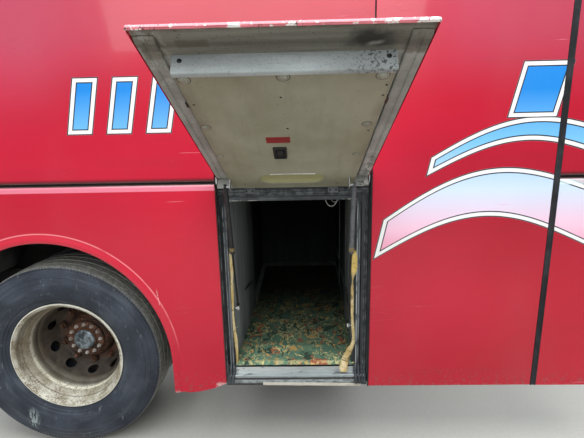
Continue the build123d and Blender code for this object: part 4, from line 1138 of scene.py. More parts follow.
def tyreProfile(centre):
    # (depth, radius) round one side from the inside, over the tread and back
    side = [
        (67, 302), (67, 277), (70, 275.5), (90, 281), (96, 285), (100, 291), (112, 300), (117, 306), (121, 312),
        (123, 318), (127, 319.5), (130, 324), (131.5, 331), (136, 332.5), (139, 337), (141, 344), (145.5, 366),
        (147.8, 382), (148.6, 398), (148.2, 412), (147, 424), (148.2, 425.5), (148, 428.5), (146.4, 430), (145, 441),
        (143.2, 450), (144.8, 451.5), (144.4, 454.5), (142.4, 456), (140.5, 466), (138, 474), (139, 476),
        (138.4, 478), (136.5, 479.5), (135.4, 487), (133.5, 490), (131.6, 491), (131.4, 494.5), (129.5, 497.5),
        (126.5, 500.8), (122, 502.6), (116, 503.2), (115.4, 499.2), (112.6, 499.2), (112, 503.5),
    ]
    crown = []
    for middle, wide in sorted(tyre["grooves"], reverse=True):
        top = 507.9 - (middle / 124) ** 2 * 4.4
        edge = [(wide / 2 + 1, 0), (wide / 2, 1), (wide / 2 - 2, tyre["groove"])]
        crown += [(middle + across, top - deep) for across, deep in edge]
        crown += [(middle - across, top - deep) for across, deep in edge[::-1]]
    cavity = [(116, 474), (126, 440), (131, 400), (126, 356), (104, 322)]
    profile = side + crown + [(-d, r) for d, r in reversed(side)]
    profile += [(-d, r) for d, r in reversed(cavity)] + [(0, 476)] + cavity
    return [(centre - d, r) for d, r in profile]


def lugTree():
    # fine lugs round a tread's shoulder, leaning on its chamfer
    tree = Growth("lugs", radius=0.497, count=190, offset=0.129, long=0.013, wide=0.0085, deep=0.004, lean=0.9)
    lug = tree.geo("MeshCube", Size=tree.lift(*(tree.size(key) for key in ("wide", "long", "deep"))))
    rings = []
    for face in (-1, 1):
        ring = tree.geo("CurvePrimitiveCircle", Resolution=tree.size("count"), Radius=tree.size("radius"))
        ring = tree.geo("CurveToPoints", {"mode": "EVALUATED"}, Curve=ring)
        turn = tree.facing(tree.lift(z=1.0), "Y", Rotation=tree.facing(tree.geo("InputPosition")))
        leaning = tree.moved(lug, Rotation=tree.lift(x=tree.size("lean") * -face))
        spots = tree.geo("InstanceOnPoints", Points=ring, Instance=leaning, Rotation=turn)
        rings.append(tree.moved(spots, Translation=tree.lift(z=tree.size("offset") * face)))
    return tree.close(tree.moved(tree.joined(rings), Rotation=(pi / 2, 0, 0)))


def makeTyres():
    for name, centre in tyre["centres"].items():
        stock = Stock()
        stock.lathe(tyreProfile(centre), (0, 0, axleHigh), (0, 1, 0), tyre["steps"])
        stock.piece(name + "_tread", "tyre_rubber", "wheel", "tyre_rubber", name, sharp=38)
        lugs = lugTree().grow(name + "_lugs", bpy.data.meshes.new(name), "tyre_rubber", None, "tyre_rubber")
        lugs.data.transform(Matrix.Translation(place(0, centre, axleHigh)))
        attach(lugs, "wheel")


def makeSidewallMarks():
    # a plain pattern of raised dashes on the outer sidewall: long, short, short, in two arcs
    stock = Stock()
    section = [(-3.6, -1), (-3.6, 0.6), (-2.6, 1.6), (2.6, 1.6), (3.6, 0.6), (3.6, -1)]
    turns = [radians(14 + 4.4 * i) for i in range(22)] + [radians(196 + 4.4 * i) for i in range(22)]
    for i, turn in enumerate(turns):
        reach = (374, 382, 390, 398, 404) if i % 3 == 0 else (386, 390, 394, 398)
        skin = {374: 147.0, 382: 147.8, 386: 148.1, 390: 148.3, 394: 148.5, 398: 148.6, 404: 148.4}
        path = [(r * sin(turn), tyreMiddle - skin[r], axleHigh + r * cos(turn)) for r in reach]
        stock.sweep(path, section, (0, -1, 0))
    stock.piece("sidewall_marks", "tyre_rubber", "wheel", "tyre_rubber", sharp=50)


makeTyres()
makeSidewallMarks()
print("tyres made")


# Rims: a rolled flange and band, and a dish with hand holes
rim = {
    "twin": 345,
    "steps": 160,
    "holes": 10,
    "holeRadius": 31,
    "holeCircle": 216,
    "holeBack": 58,  # from the twin plane
    "slope": 66,  # of the holes' axes from the axle
}


def makeRims():
    band = [
        (57, 291), (54.5, 294), (55, 297.6), (57.5, 299.6), (61, 300), (64, 298), (65.5, 293.5), (67.5, 288),
        (72, 284.2), (84, 282.6), (101, 281.8), (104, 280.0), (110, 273.5), (122, 266), (150, 256), (185, 252),
        (238, 252), (262, 266), (272, 282), (286, 284), (292, 290), (295, 297.5), (298, 297.5), (298, 293),
        (294, 284), (288, 277), (274, 275), (266, 260), (242, 244.2), (185, 244.2), (149, 248.6), (124, 256.6),
        (110, 264.5), (102, 271.5), (98, 274.5), (86, 275.6), (74, 276.6), (66, 279.5), (60, 284.5),
    ]
    dish = [
        (200, 244.6), (200, 240.5), (206, 236.5), (222, 235), (238, 234), (248, 231), (264, 225), (322, 199),
        (329, 194.5), (333, 190), (333, 141), (344.9, 141), (344.9, 197.5), (338, 203), (276, 230), (256, 240),
        (246, 244.6),
    ]
    for name, face in (("outer_rim", 1), ("inner_rim", -1)):
        stock = Stock()
        for profile in (band, dish):
            turned = [(rim["twin"] + face * (y - rim["twin"]), r) for y, r in profile]
            stock.lathe(turned, (0, 0, axleHigh), (0, 1, 0), rim["steps"])
        bmesh.ops.recalc_face_normals(stock.bm, faces=stock.bm.faces)
        cutter = bmesh.new()
        for i in range(rim["holes"]):
            turn = 2 * pi * i / rim["holes"]
            out = Vector((sin(turn), 0, cos(turn)))
            spot = place(*(out * rim["holeCircle"] + Vector((0, rim["twin"] - face * rim["holeBack"], axleHigh))))
            way = out * sin(radians(rim["slope"])) + Vector((0, face * cos(radians(rim["slope"])), 0))
            laid = Matrix.Translation(spot) @ way.to_track_quat("Z", "Y").to_matrix().to_4x4()
            radius = rim["holeRadius"] / 1000
            size = {"radius1": radius, "radius2": radius, "depth": 0.056}
            bmesh.ops.create_cone(cutter, cap_ends=True, segments=36, matrix=laid, **size)
        mesh = bpy.data.meshes.new("cutter")
        cutter.to_mesh(mesh)
        cutter.free()
        tool = added("cutter", mesh)
        for vert in stock.bm.verts:
            vert.co = place(*vert.co)
        mesh = bpy.data.meshes.new(name + "_dish")
        stock.bm.to_mesh(mesh)
        mesh.materials.append(finishes["rim_paint"])
        piece = added(name + "_dish", mesh)
        cut = piece.modifiers.new("holes", "BOOLEAN")
        cut.object, cut.solver = tool, "EXACT"
        cut.use_self = True
        settle(piece, "wheel", "rim_paint", name)
        bpy.data.objects.remove(tool)


def boltCircle(count, radius, y, face, start=0.0):
    # spots round the axle
    turns = [2 * pi * (i + start) / count for i in range(count)]
    return [(place(radius * sin(a), y, axleHigh + radius * cos(a)), Vector((0, face, 0))) for a in turns]


def makeHub():
    # the drum's end, the axle shaft's flange and its cap, from the mounting face outwards
    stock = Stock()
    profile = [
        (231, 0), (231.5, 20), (233, 40), (236, 55), (240, 62), (246, 66), (251, 67.5), (252, 71), (252, 101),
        (254, 104), (264, 104.5), (268, 103), (270, 106), (280, 120), (296, 130), (312, 139.2), (357, 139.2),
        (357, 187), (377, 187.8), (377, 149), (400, 132), (470, 119), (470, 62), (392, 62), (390, 0),
    ]
    stock.lathe(profile, (0, 0, axleHigh), (0, 1, 0), 96, closed=False)
    stock.piece("hub_casting", "rusty_iron", "wheel", "rusty_iron", "hub", sharp=30)
    stock = Stock()
    cap = [
        (229, 0), (229, 8), (231, 9), (231, 12), (229.6, 16), (229.2, 40), (230.4, 52), (235, 59), (240, 61), (241, 0)
    ]
    stock.lathe(cap, (0, 0, axleHigh), (0, 1, 0), 72, closed=False)
    stock.piece("hub_cap", "hub_cap", "wheel", "bright_steel", sharp=35)
    size = dict(washer=0.01, washerHigh=0.002, across=0.0078, high=0.01, stud=0.0036, studHigh=0.004)
    bolts.grow("shaft_bolts", boltCircle(12, 86, 252, -1), "bolt_steel", "wheel", "bright_steel", **size)
    size = dict(washer=0.0235, washerHigh=0.005, across=0.0185, high=0.02, stud=0.0105, studHigh=0.012)
    nuts = boltCircle(10, 167.5, 333, -1)
    bolts.grow("stud_nuts", nuts, "rusty_iron", "wheel", "rusty_iron", "wheel_nuts", **size)


makeRims()
makeHub()
print("wheel made")


# Body panels: one outer surface each, thickened inwards, with rolled and folded edges
def border(stock, path, section):
    # carries a section of (out, depth) along an edge; each point of it is x, z, its way out and a shift in
    rings = []
    for out, depth in section:
        rings.append(stock.ring([(x + ox * out, depth + deep, z + oz * out) for x, z, ox, oz, deep in path]))
    for one, other in zip(rings, rings[1:]):
        for i in range(len(path) - 1):
            stock.bm.faces.new((one[i], one[i + 1], other[i + 1], other[i]))


def rollSection():
    # flat, round through a quarter turn and back to the flange's end
    r = panels["roll"]
    turns = [radians(turn) for turn in spread(0, 90, 10)]
    return [(0, 0)] + [(4 + r * sin(a), r - r * cos(a)) for a in turns] + [(4 + r, panels["flange"])]


fold = ((0, 0), (1.2, 0.2), (2.6, 1.2), (3.7, 2.7), (4, 4), (4, 30))


def wingHem(x):
    # the lower edge between the arch and the doorway: an arc through three points
    a, b, c = Vector((582, 330)), Vector((740, 337)), Vector((853, 378))
    d = 2 * (a.x * (b.y - c.y) + b.x * (c.y - a.y) + c.x * (a.y - b.y))
    mx = (a.dot(a) * (b.y - c.y) + b.dot(b) * (c.y - a.y) + c.dot(c) * (a.y - b.y)) / d
    my = (a.dot(a) * (c.x - b.x) + b.dot(b) * (a.x - c.x) + c.dot(c) * (b.x - a.x)) / d
    return my - ((a - Vector((mx, my))).length ** 2 - (x - mx) ** 2) ** 0.5


def makeWing():
    middle, half, rise, foot = (panels[key] for key in ("archMiddle", "archHalf", "archRise", "archFoot"))
    steps = panels["archSteps"]
    path = [(middle + half, panels["hem"] + lift, 1, 0.02 * (1 - lift / 168), 0) for lift in (0, 24, 60, 110, 150)]
    for i in range(steps + 1):
        turn = pi * i / steps
        path.append((middle + half * cos(turn), foot + rise * sin(turn), cos(turn), sin(turn), 0))
    path += [(middle - half, panels["hem"] + lift, -1, 0, 0) for lift in (150, 110, 60, 24, 0)]
    stock = Stock()
    border(stock, path, panels["lip"])
    wide = panels["lip"][-1][0]
    loop = [(x + ox * wide, z + oz * wide) for x, z, ox, oz, _ in path]
    edge, top = panels["wingEdge"] - 4, panels["belt"][0] - panels["roll"] - 4
    hem = [(x, wingHem(x)) for x in (edge, 830, 800, 770, 740, 710, 680, 655)]
    ends = [(edge, top), (panels["rear"], top), (panels["rear"], panels["hem"])]
    flat = loop + ends[::-1] + hem
    stock.sheet([flat], lambda x, z: (x, 0, z))
    border(stock, [(edge, top, 1, 0, 0), (edge, wingHem(edge), 1, 0.45, 0)], fold)
    along = [(panels["rear"], 0)] + [(edge + out, deep) for out, deep in fold[:5]]
    border(stock, [(x, top, 0, 1, deep) for x, deep in along], rollSection())
    stock.piece(
        "wing_skin", "crimson_paint", "body_side", "crimson_paint", "wing_panel", solid=panels["sheet"], sharp=40
    )


def makeBeltPanels():
    # the panels above and below the belt seam, rolled in where they meet
    low, high = panels["belt"]
    r, top = panels["roll"] + 4, panels["waist"]
    rear, edge, seam = panels["rear"], panels["wingEdge"], panels["flapSeam"]
    first, last = panels["frontPanels"]
    skirt = panels["skirt"]
    plans = (
        # name, node, flat loop, rolled edge, way out
        (
            "upper_skin", "upper_panel",
            [(rear, top), (rear, high + r), (edge, high + r), (edge, seam), (1577, seam), (1577, top)],
            [(rear, high + r), (edge, high + r)], -1
        ),
        (
            "upper_front_skin", "upper_front_panel", [(first, top), (first, high + r), (last, high + r), (last, top)],
            [(first, high + r), (last, high + r)], -1
        ),
        (
            "lower_front_skin", "lower_front_panel",
            [(first, skirt), (first, low - r), (last, low - r), (last, skirt)], [(first, low - r), (last, low - r)], 1
        ),
    )
    for name, node, flat, rolled, way in plans:
        stock = Stock()
        stock.sheet([flat], lambda x, z: (x, 0, z))
        border(stock, [(x, z, 0, way, 0) for x, z in rolled], rollSection())
        stock.piece(name, "crimson_paint", "body_side", "crimson_paint", node, solid=panels["sheet"], sharp=40)


def makeStrips():
    # rubber in the panel joints: two beads with a channel between them, one bead in the narrow joint
    wide = [
        (-14, 3), (-14, 0.5), (-13.2, -0.7), (-11.5, -1.5), (-9.5, -1.4), (-8, -0.4), (-7, 1.4), (7, 1.4), (8, -0.4),
        (9.5, -1.4), (11.5, -1.5), (13.2, -0.7), (14, 0.5), (14, 3)
    ]
    slim = [(-3, 3), (-3, 0.2), (-2.4, -0.8), (-1, -1.45), (1, -1.45), (2.4, -0.8), (3, 0.2), (3, 3)]
    for name, node, x, section in (
        ("front_joint_rubber", "front_strip", 2418, wide), ("rear_joint_rubber", "rear_strip", 1580, slim)
    ):
        stock = Stock()
        path = [(x, 0, z) for z in spread(panels["skirt"], panels["waist"], 40)]
        stock.sweep(path, [(-a, -b) for a, b in section], (0, -1, 0))
        stock.piece(name, "black_rubber", "body_side", "black_rubber", node)


def makeBeltSeal():
    # a rubber bead pressed into the seam, dark behind the two rolled edges
    section = [(-6.4, -4), (-6.4, 3), (-4.6, 4.6), (-1.6, 3.4), (1.6, 3.4), (4.6, 4.6), (6.4, 3), (6.4, -4)]
    stock = Stock()
    for first, last in (
        (panels["rear"] + 1, panels["wingEdge"] - 0.5), (panels["frontPanels"][0] + 1, panels["front"] - 1)
    ):
        path = [(x, 17, sum(panels["belt"]) / 2) for x in spread(first, last, round((last - first) / 25))]
        stock.sweep(path, section, (0, -1, 0))
    stock.piece("belt_seal", "deep_black", "body_side", "black_rubber", sharp=40)


makeWing()
makeBeltPanels()
makeBeltSeal()
makeStrips()
print("body panels made")


# Flap: two skins, side channels, a pressed inner panel with its recess, rail, lock and latches
flap = {
    "half": 357.0,
    "top": -14.0,
    "foot": 1036.0,
    "panelHalf": 280.0,
    "panelStart": 12.0,
    "panelEnd": 921.0,
    "face": 14.0,
    "pull": {"s": 131.0, "half": 150.0, "radius": 65.0},
    # across, along the flap, radius and height
    "rivets": (
        (-258, 894, 13, 6.0), (-3, 896, 13, 6.0), (250, 894, 13, 6.0), (-263, 630, 12, 5.0), (250, 632, 12, 5.0),
        (-263, 396, 9.5, 4.0), (246, 392, 9.5, 4.0), (-266, 34, 6, 2.6), (262, 36, 6, 2.6)
    ),
    "screws": (
        (-14, 800, 3), (-2, 610, 3.5), (262, 585, 3), (-264, 770, 3), (268, 800, 3), (268, 850, 3), (205, 60, 3),
        (-215, 66, 3)
    ),
    "lock": (-36.0, 420.0, 25.0, 48.0),
    "plate": (-79.0, 4.0, 503.0, 549.0),
}


def roundedPath(left, right, low, high, radius):
    # a rounded rectangle as (x, s, way out across, way out along)
    path = []
    for x, s, first in ((right, high, 0), (left, high, 90), (left, low, 180), (right, low, 270)):
        mx = x - radius if x == right else x + radius
        ms = s - radius if s == high else s + radius
        turns = [radians(first + turn) for turn in spread(0, 90, 5)]
        path += [(mx + radius * cos(a), ms + radius * sin(a), cos(a), sin(a)) for a in turns]
    return path


def obround(half, radius, s):
    path = []
    for side, first in ((1, -90), (-1, 90)):
        turns = [radians(first + turn) for turn in spread(0, 180, 20)]
        path += [(side * (half - radius) + radius * cos(a), s + radius * sin(a), cos(a), sin(a)) for a in turns]
    return path


def pressed(stock, path, section, flat=-1, holes=()):
    # a closed border in the flap's own frame, with section as (out, height), and the flat sheet inside it
    rings = [stock.ring([(x + ox * out, s + os * out, high) for x, s, ox, os in path]) for out, high in section]
    for one, other in zip(rings, rings[1:]):
        stock.bridge(one, other)
    out, high = section[flat]
    loop = [(x + ox * out, s + os * out) for x, s, ox, os in path]
    stock.sheet([loop, *holes], lambda x, s: (x, s, high))


def makeFlapSkins():
    half, top, foot = flap["half"], flap["top"], flap["foot"]
    outer = Stock(flapPlace)
    path = roundedPath(-half, half, top, foot, 5)
    section = ((-12, -40), (-8, -40), (-5, -39.7), (-2.6, -38.8), (-0.9, -37.2), (-0.1, -35), (0, -32), (-0.2, -29.6))
    pressed(outer, path, section, flat=0)
    outer.piece("flap_outer_skin", "flap_crimson", "flap", "crimson_paint", "flap_skin", solid=1.5, sharp=40)
    # the hem turned over at the free edge, uneven where it was knocked
    hem = Stock(flapPlace)
    path, sizes = [], []
    for x in spread(-half + 4, half - 4, 90):
        knock = ripple(x / 60, 3.1, 0) * 1.6
        path.append((x, foot - 5.4 + knock * 0.5, -31.6 + knock))
        sizes.append(1 + ripple(x / 23, 8.7, 0) * 0.14)
    hem.sweep(path, oval(3.4, 4.4, 14), (0, 0, 1), sizes)
    hem.piece("flap_hem", "flap_crimson", "flap", "crimson_paint", sharp=50)
    # inner sheet, pressed with a shallow step all round
    inner = Stock(flapPlace)
    path = roundedPath(-half + 2.2, half - 2.2, top + 2.2, foot - 8, 8)
    section = ((0, -37.6), (-5, -37.4), (-7, -36.6), (-14, -36.5), (-16, -36.9), (-22, -37))
    pressed(inner, path, section)
    inner.piece("flap_inner_skin", "flap_grey", "flap", "flap_grey", solid=0.9, sharp=50)
    # channels down both sides
    sides = Stock(flapPlace)
    section = [
        (302, -37), (302, -30), (303.4, -27.8), (306, -27), (318, -27), (320.5, -28), (322.5, -30.5), (331, -30.5),
        (333, -28), (335, -27), (347, -27), (351, -28.2), (353.4, -31), (354, -37)
    ]
    for face in (-1, 1):
        rings = []
        for s in spread(20, 1000, 60):
            dent = ripple(face * 3, s / 120, 2) * 0.5
            end = min(1, (s - 20) / 6 + 0.35, (1000 - s) / 6 + 0.35)
            heights = [-37 + (t + 37) * end + (dent if -31 < t < -27.5 else 0) for _, t in section]
            rings.append(sides.ring([(x * face, s, t) for (x, _), t in zip(section, heights)]))
        sides.tube(rings)
    sides.piece("flap_side_channels", "flap_grey", "flap", "flap_grey", "flap_stiffeners", sharp=38)


def makeFlapPanel():
    half, start, end, face = (flap[key] for key in ("panelHalf", "panelStart", "panelEnd", "face"))
    pull = obround(*(flap["pull"][key] for key in ("half", "radius", "s")))
    stock = Stock(flapPlace)
    path = roundedPath(-half, half, start, end - 4, 4)
    section = ((0, 10.5), (0, 12.4), (-0.8, 13.5), (-2.2, 14), (-5, face))
    pressed(stock, path, section, holes=[[(x, s) for x, s, *_ in pull]])
    # the recess: a raised rim, a steep wall on the hinge side and a long slope from the other
    section = (
        (0, 14), (-1, 14.7), (-3, 15.3), (-5.5, 15.2), (-7.5, 14), (-9.5, 11), (-12, 7), (-15.5, 3.6), (-21, 1.5),
        (-29, 0.5), (-40, 0.2)
    )
    pressed(stock, pull, section)
    stock.piece("flap_inner_panel", "flap_beige", "flap", "flap_beige", "flap_panel", "flap_pull", solid=1.8, sharp=42)
    # a pale strip along the recess's far rim: a painted highlight
    recess_highlight = Stock(flapPlace)
    path = [(x, 191 - abs(x - 4) ** 3 / 320000, 15.0) for x in range(-92, 102, 6)]
    recess_highlight.sweep(path, oval(5.6, 1.5, 12), (0, 0, 1))
    recess_highlight.piece("pull_grip", "grip_paint", "flap", "flap_beige", sharp=50)


def makeRail():
    stock = Stock(flapPlace)
    section = [
        (925, -37), (925, 11.5), (924.4, 13.6), (923, 15.2), (920.8, 16), (908.4, 16), (907.2, 15.7), (907, 14.8),
        (907.4, 14.2), (919.6, 14), (920.8, 13), (921, 11), (921, -37)
    ]
    rings = []
    for x in spread(-283, 283, 71):
        dent = abs(ripple(x / 70, 5, 1) * 0.7)
        rings.append(stock.ring([(x, s - (dent if -30 < t < 8 and s > 922 else 0), t) for s, t in section]))
    stock.tube(rings)
    # a rectangle pressed proud of the rail's face
    for left, right, low, high in (
        (-41, 41, -30, -27.4), (-41, 41, -7.6, -5), (-41, -38.4, -30, -5), (38.4, 41, -30, -5)
    ):
        stock.block((left, 924.4, low), (right, 926.2, high), 0.7)
    stock.piece("flap_rail_channel", "rail_grey", "flap", "rail_grey", "flap_rail", sharp=36)
    plugs = Stock(flapPlace)
    for x in (-262, 262):
        plugs.lathe(
            [(0, 6.6), (0.9, 6.4), (1.2, 5.6), (1.0, 4.8), (0.3, 4.4), (0.3, 0)], (x, 924.7, -20), (0, 1, 0), 24,
            closed=False
        )
    plugs.piece("rail_grommets", "black_rubber", "flap", "black_rubber", sharp=40)


def makeFlapFittings():
    def heads(name, rows, finish):
        for size in sorted({row[2] for row in rows}):
            spots = [(flapPlace(x, s, flap["face"]), intoFlap) for x, s, radius, *_ in rows if radius == size]
            high = {row[2]: row[3] if len(row) > 3 else 1.4 for row in rows}[size]
            look = {"radius": size / 1000, "high": high / 1000}
            rivets.grow(f"{name}_{round(size * 10)}", spots, finish, "flap", "flap_beige", sharp=60, **look)

    heads("panel_rivets", flap["rivets"], "rivet_paint")
    # dark rings round the rivets: painted shadow
    heads("rivet_rims", [(x, s, radius * 1.17, 0.9) for x, s, radius, _ in flap["rivets"]], "rivet_dirt")
    heads("panel_screws", flap["screws"], "rod_steel")
    left, right, low, high = flap["plate"]
    plate = Stock(flapPlace)
    path = roundedPath(left, right, low, high, 3)
    pressed(plate, path, ((0, 13.9), (0, 14.5), (-0.6, 14.9), (-2.4, 14.9), (-3, 14.6), (-4.4, 14.6)))
    plate.piece("red_plate", "red_enamel", "flap", "flap_beige", sharp=60)
    x, s, wide, long = flap["lock"]
    lock = Stock(flapPlace)
    path = roundedPath(x - wide, x + wide, s - long, s + long, 7)
    section = ((0, 14), (0, 18.6), (-0.8, 20.8), (-2.4, 22), (-6, 22), (-7.4, 21.2), (-8, 19), (-8.4, 15.6))
    pressed(lock, path, section)
    lock.block((x - 13, s - 26, 15.2), (x + 13, s + 22, 19.6), 2.2, 3)
    lock.block((x - 10, s - 20, 19.2), (x + 10, s - 8, 21.2), 1.2)
    lock.block((x - 10, s + 24, 15.4), (x + 10, s + 34, 17.4))
    lock.piece("lock_housing", "black_plastic", "flap", "black_plastic", "flap_lock", sharp=35)
    for side, name, finish, held in ((-1, "rear", "black_plastic", ["flap_latches"]), (1, "front", "latch_rust", [])):
        latch = Stock(flapPlace)
        low, high = sorted((262 * side, 288 * side))
        latch.block((low, 737, -23.5), (high, 768, 5.5), 1.8)
        bolt = [(0, 0), (0, 11), (1, 12), (5, 12), (6, 11), (6, 5), (9, 4.6), (9, 0)]
        latch.lathe(bolt, (285 * side, 752, -3), (side, 0, 0), 24, closed=False)
        low, high = sorted((286 * side, 291.5 * side))
        latch.block((low, 742, -14), (high, 748, 7), 1.2)
        latch.block((low, 757, -14), (high, 763, 4), 1.2)
        latch.piece(f"latch_{name}", finish, "flap", "black_plastic", *held, sharp=35)


makeFlapSkins()
makeFlapPanel()
makeRail()
makeFlapFittings()
print("flap made")


# Doorway: rubber seal on its path, header trim, sill, jamb edging and small fittings
door = {
    "opening": (853.5, 1576.5),
    "sealPath": ((878, 407), (878, 1330), (1533, 1330), (1533, 407)),
    "corner": 58.0,
    "sealDepth": 70.0,
    # y, z of the sill's top side, and its underside
    "tread": (
        (28.6, 358), (28, 360), (28, 374), (28.8, 376), (31, 377.4), (33.4, 378), (33.4, 387), (31, 387.6),
        (28.8, 389), (28, 391), (27.9, 400), (28.6, 402.6), (30.5, 404), (53.5, 404), (55.4, 404.6), (56, 406.4),
        (56, 432), (56.8, 434.8), (59, 436)
    ),
    "ribs": (64.0, 69.0, 74.0, 79.0),
    "tabs": (1008.0, 1406.0),
}


def smoothLine(rows, each):
    # points between the rows on a smooth curve through them
    made = []
    for i in range(len(rows) - 1):
        a, b, c, d = (Vector(rows[max(0, min(len(rows) - 1, i + k))]) for k in (-1, 0, 1, 2))
        for t in (j / each for j in range(each)):
            square, cube = (2 * a - 5 * b + 4 * c - d) * t * t, (3 * b - a - 3 * c + d) * t**3
            made.append(0.5 * (2 * b + (c - a) * t + square + cube))
    return made + [Vector(rows[-1])]


def sealTree():
    # a flattened bulb with a lip on each side, carried along a curve that faces the street
    tree = Growth("seal", wide=0.0105, thick=0.0095, lip=0.004, spread=0.0075, step=0.008)
    way = tree.geo("ResampleCurve", {"mode": "LENGTH"}, Curve=tree.entry, Length=tree.size("step"))
    way = tree.geo("SetCurveNormal", {"mode": "FREE"}, Curve=way, Normal=(0.0, 1.0, 0.0))
    parts = []
    for deep, across, side in (("thick", "wide", 0.0), ("lip", "lip", 1.0), ("lip", "lip", -1.0)):
        ring = tree.geo("CurvePrimitiveCircle", Resolution=20, Radius=1.0)
        spot = tree.lift(x=tree.size("thick") * (-0.35 if side else 0.0), y=tree.size("spread") * side)
        ring = tree.moved(ring, Scale=tree.lift(tree.size(deep), tree.size(across), 1.0), Translation=spot)
        parts.append(tree.geo("CurveToMesh", Curve=way, Profile_Curve=ring, Fill_Caps=True))
    return tree.close(tree.joined(parts))


def doorPath():
    # the seal's middle line as a curve, with round corners
    (x0, z0), (_, z1), (x1, _), _ = door["sealPath"]
    r = door["corner"]
    turns = [radians(turn) for turn in spread(0, 90, 12)]
    points = [(x0, z) for z in spread(z0, z1 - r, 20)[:-1]]
    points += [(x0 + r - r * cos(a), z1 - r + r * sin(a)) for a in turns]
    points += [(x1 - r + r * sin(a), z1 - r + r * cos(a)) for a in turns]
    points += [(x1, z) for z in spread(z1 - r, z0, 20)[1:]]
    bows = [ripple(x / 160, z / 160, 4) * 1.2 for x, z in points]
    return curveOf("seal_way", [[place(x + bow, door["sealDepth"], z) for (x, z), bow in zip(points, bows)]])


def makeDoor():
    sealTree().grow("door_seal_bulb", doorPath(), "seal_rubber", "body_side", "seal_rubber", "door_seal", sharp=60)
    # sill: rounded steps with ribs on the tread, worn hollow in the middle
    stock = Stock()
    tread = list(door["tread"])
    for y in door["ribs"]:
        tread += [(y - 1.5, 435.9), (y - 0.8, 434.9), (y + 0.8, 434.9), (y + 1.5, 435.9)]
    tread += [(82.6, 436), (83.7, 435.4), (84, 434), (84, 398), (38, 398), (38, 358)]
    rings = []
    for x in spread(*door["opening"], 90):
        knock = ripple(x / 50, 2, 6)
        worn = max(0, 1 - ((x - hinge["x"]) / 300) ** 2) * 0.8
        ring = []
        for y, z in tread:
            sunk = (worn if z > 430 else 0, abs(knock) * 0.8 if z > 399 and y < 56 else 0)
            ring.append((x, y + (knock * 0.7 if y < 31 and z > 395 else 0), z - sunk[0] - sunk[1]))
        rings.append(stock.ring(ring))
    stock.tube(rings)
    stock.piece("sill_tread", "sill_metal", "body_side", "sill_metal", "sill", sharp=32)
    # the seal and its edging run down over both ends of the sill
    feet = Stock()
    for x, wide, deep, lean in (
        (889, 9.5, 7, -9),
        (871.5, 6.5, 5, -6),
        (859, 4.4, 4, -2),
        (1521, 8.5, 7, 3),
        (1538.5, 7.5, 6, 3),
        (1554, 6, 5, 2),
        (1569, 5.4, 4, 1),
    ):
        drop = (
            (0, 64, 446), (0, 54, 440), (0, 47, 430), (0, 44, 414), (0.1, 36, 404), (0.3, 26, 398), (0.6, 23.5, 384)
        )
        path = smoothLine([(x + lean * share, y, z) for share, y, z in drop] + [(x + lean, 23.5, 358.5)], 4)
        sizes = [0.8 + 0.2 * min(1, i / 4) for i in range(len(path))]
        feet.sweep(path, oval(wide, deep, 16), (0, -1, 0), sizes)
    feet.piece("seal_feet", "seal_rubber", "body_side", "seal_rubber", sharp=60)
    strip = Stock()
    path = [(x, 61.5 + ripple(i / 6, 3, 3) * 1.2, 436.6) for i, x in enumerate(spread(896, 1514, 40))]
    strip.sweep(path, [(-5, -1), (-5, 1), (-3.6, 2.4), (3.6, 2.4), (5, 1), (5, -1)], (0, 0, 1))
    strip.piece("sill_lip", "deep_black", "body_side", "seal_rubber", sharp=50)
    # a loose strip that hangs under the sill
    strip = Stock()
    path = []
    for i, x in enumerate(spread(1040, 1551, 60)):
        path.append((x, 27 + ripple(i / 9, 1, 1) * 0.8, 356.5 - 8.5 * (i / 60) + ripple(i / 6, 4, 2) * 1.2))
    strip.sweep(path, [(-1.4, -8), (-1.4, 7), (-0.6, 8), (0.6, 8), (1.4, 7), (1.4, -8)], (0, 0, 1))
    strip.piece("under_sill_strip", "strip_pale", "body_side", "sill_metal", sharp=40)
    # header: three lines of edging over the seal, and the tabs that the hinge line rests on
    edging = Stock()
    for z, deep, half, thick in ((1347, 59.2, 2.2, 1.4), (1357, 59.3, 5.6, 1.5), (1371, 59.3, 5.0, 1.5)):
        path = [(x, deep, z + ripple(i / 5, z, 0) * 0.5) for i, x in enumerate(spread(856, 1574, 30))]
        edging.sweep(path, oval(half, thick, 12), (0, 1, 0))
    edging.piece("header_edging", "edging_rubber", "body_side", "seal_rubber", sharp=50)
    tabs = Stock()
    for x in door["tabs"]:
        tabs.block((x - 24, 56.4, 1356), (x + 24, 59.8, 1383.4), 1.2)
        tabs.block((x - 24, 55.4, 1379.5), (x + 24, 59.8, 1383.4), 1.2)
    tabs.piece("hinge_tabs", "strut_grey", "body_side", "bay_metal", sharp=40)
    spots = [(place(x + side * 14, 56.2, 1367), Vector((0, -1, 0))) for x in door["tabs"] for side in (-1, 1)]
    look = dict(radius=0.0036, high=0.0016)
    rivets.grow("tab_rivets", spots, "rod_steel", "body_side", "bay_metal", sharp=60, **look)
    # a channel of edging round the jambs, outside the seal
    jamb = Stock()
    section = [(-2.6, -2), (-2.6, 0.8), (-1.4, 2), (1.4, 2), (2.6, 0.8), (2.6, -2)]
    for x, depth in ((857, 34.0), (1562, 60.5), (1572, 60.5)):
        path = [(x + ripple(z / 90, x, 0) * 0.8, depth, z) for z in range(412, 1332, 20)]
        jamb.sweep(path, section, (0, -1, 0))
    jamb.piece("jamb_edging", "edging_rubber", "body_side", "seal_rubber", sharp=50)


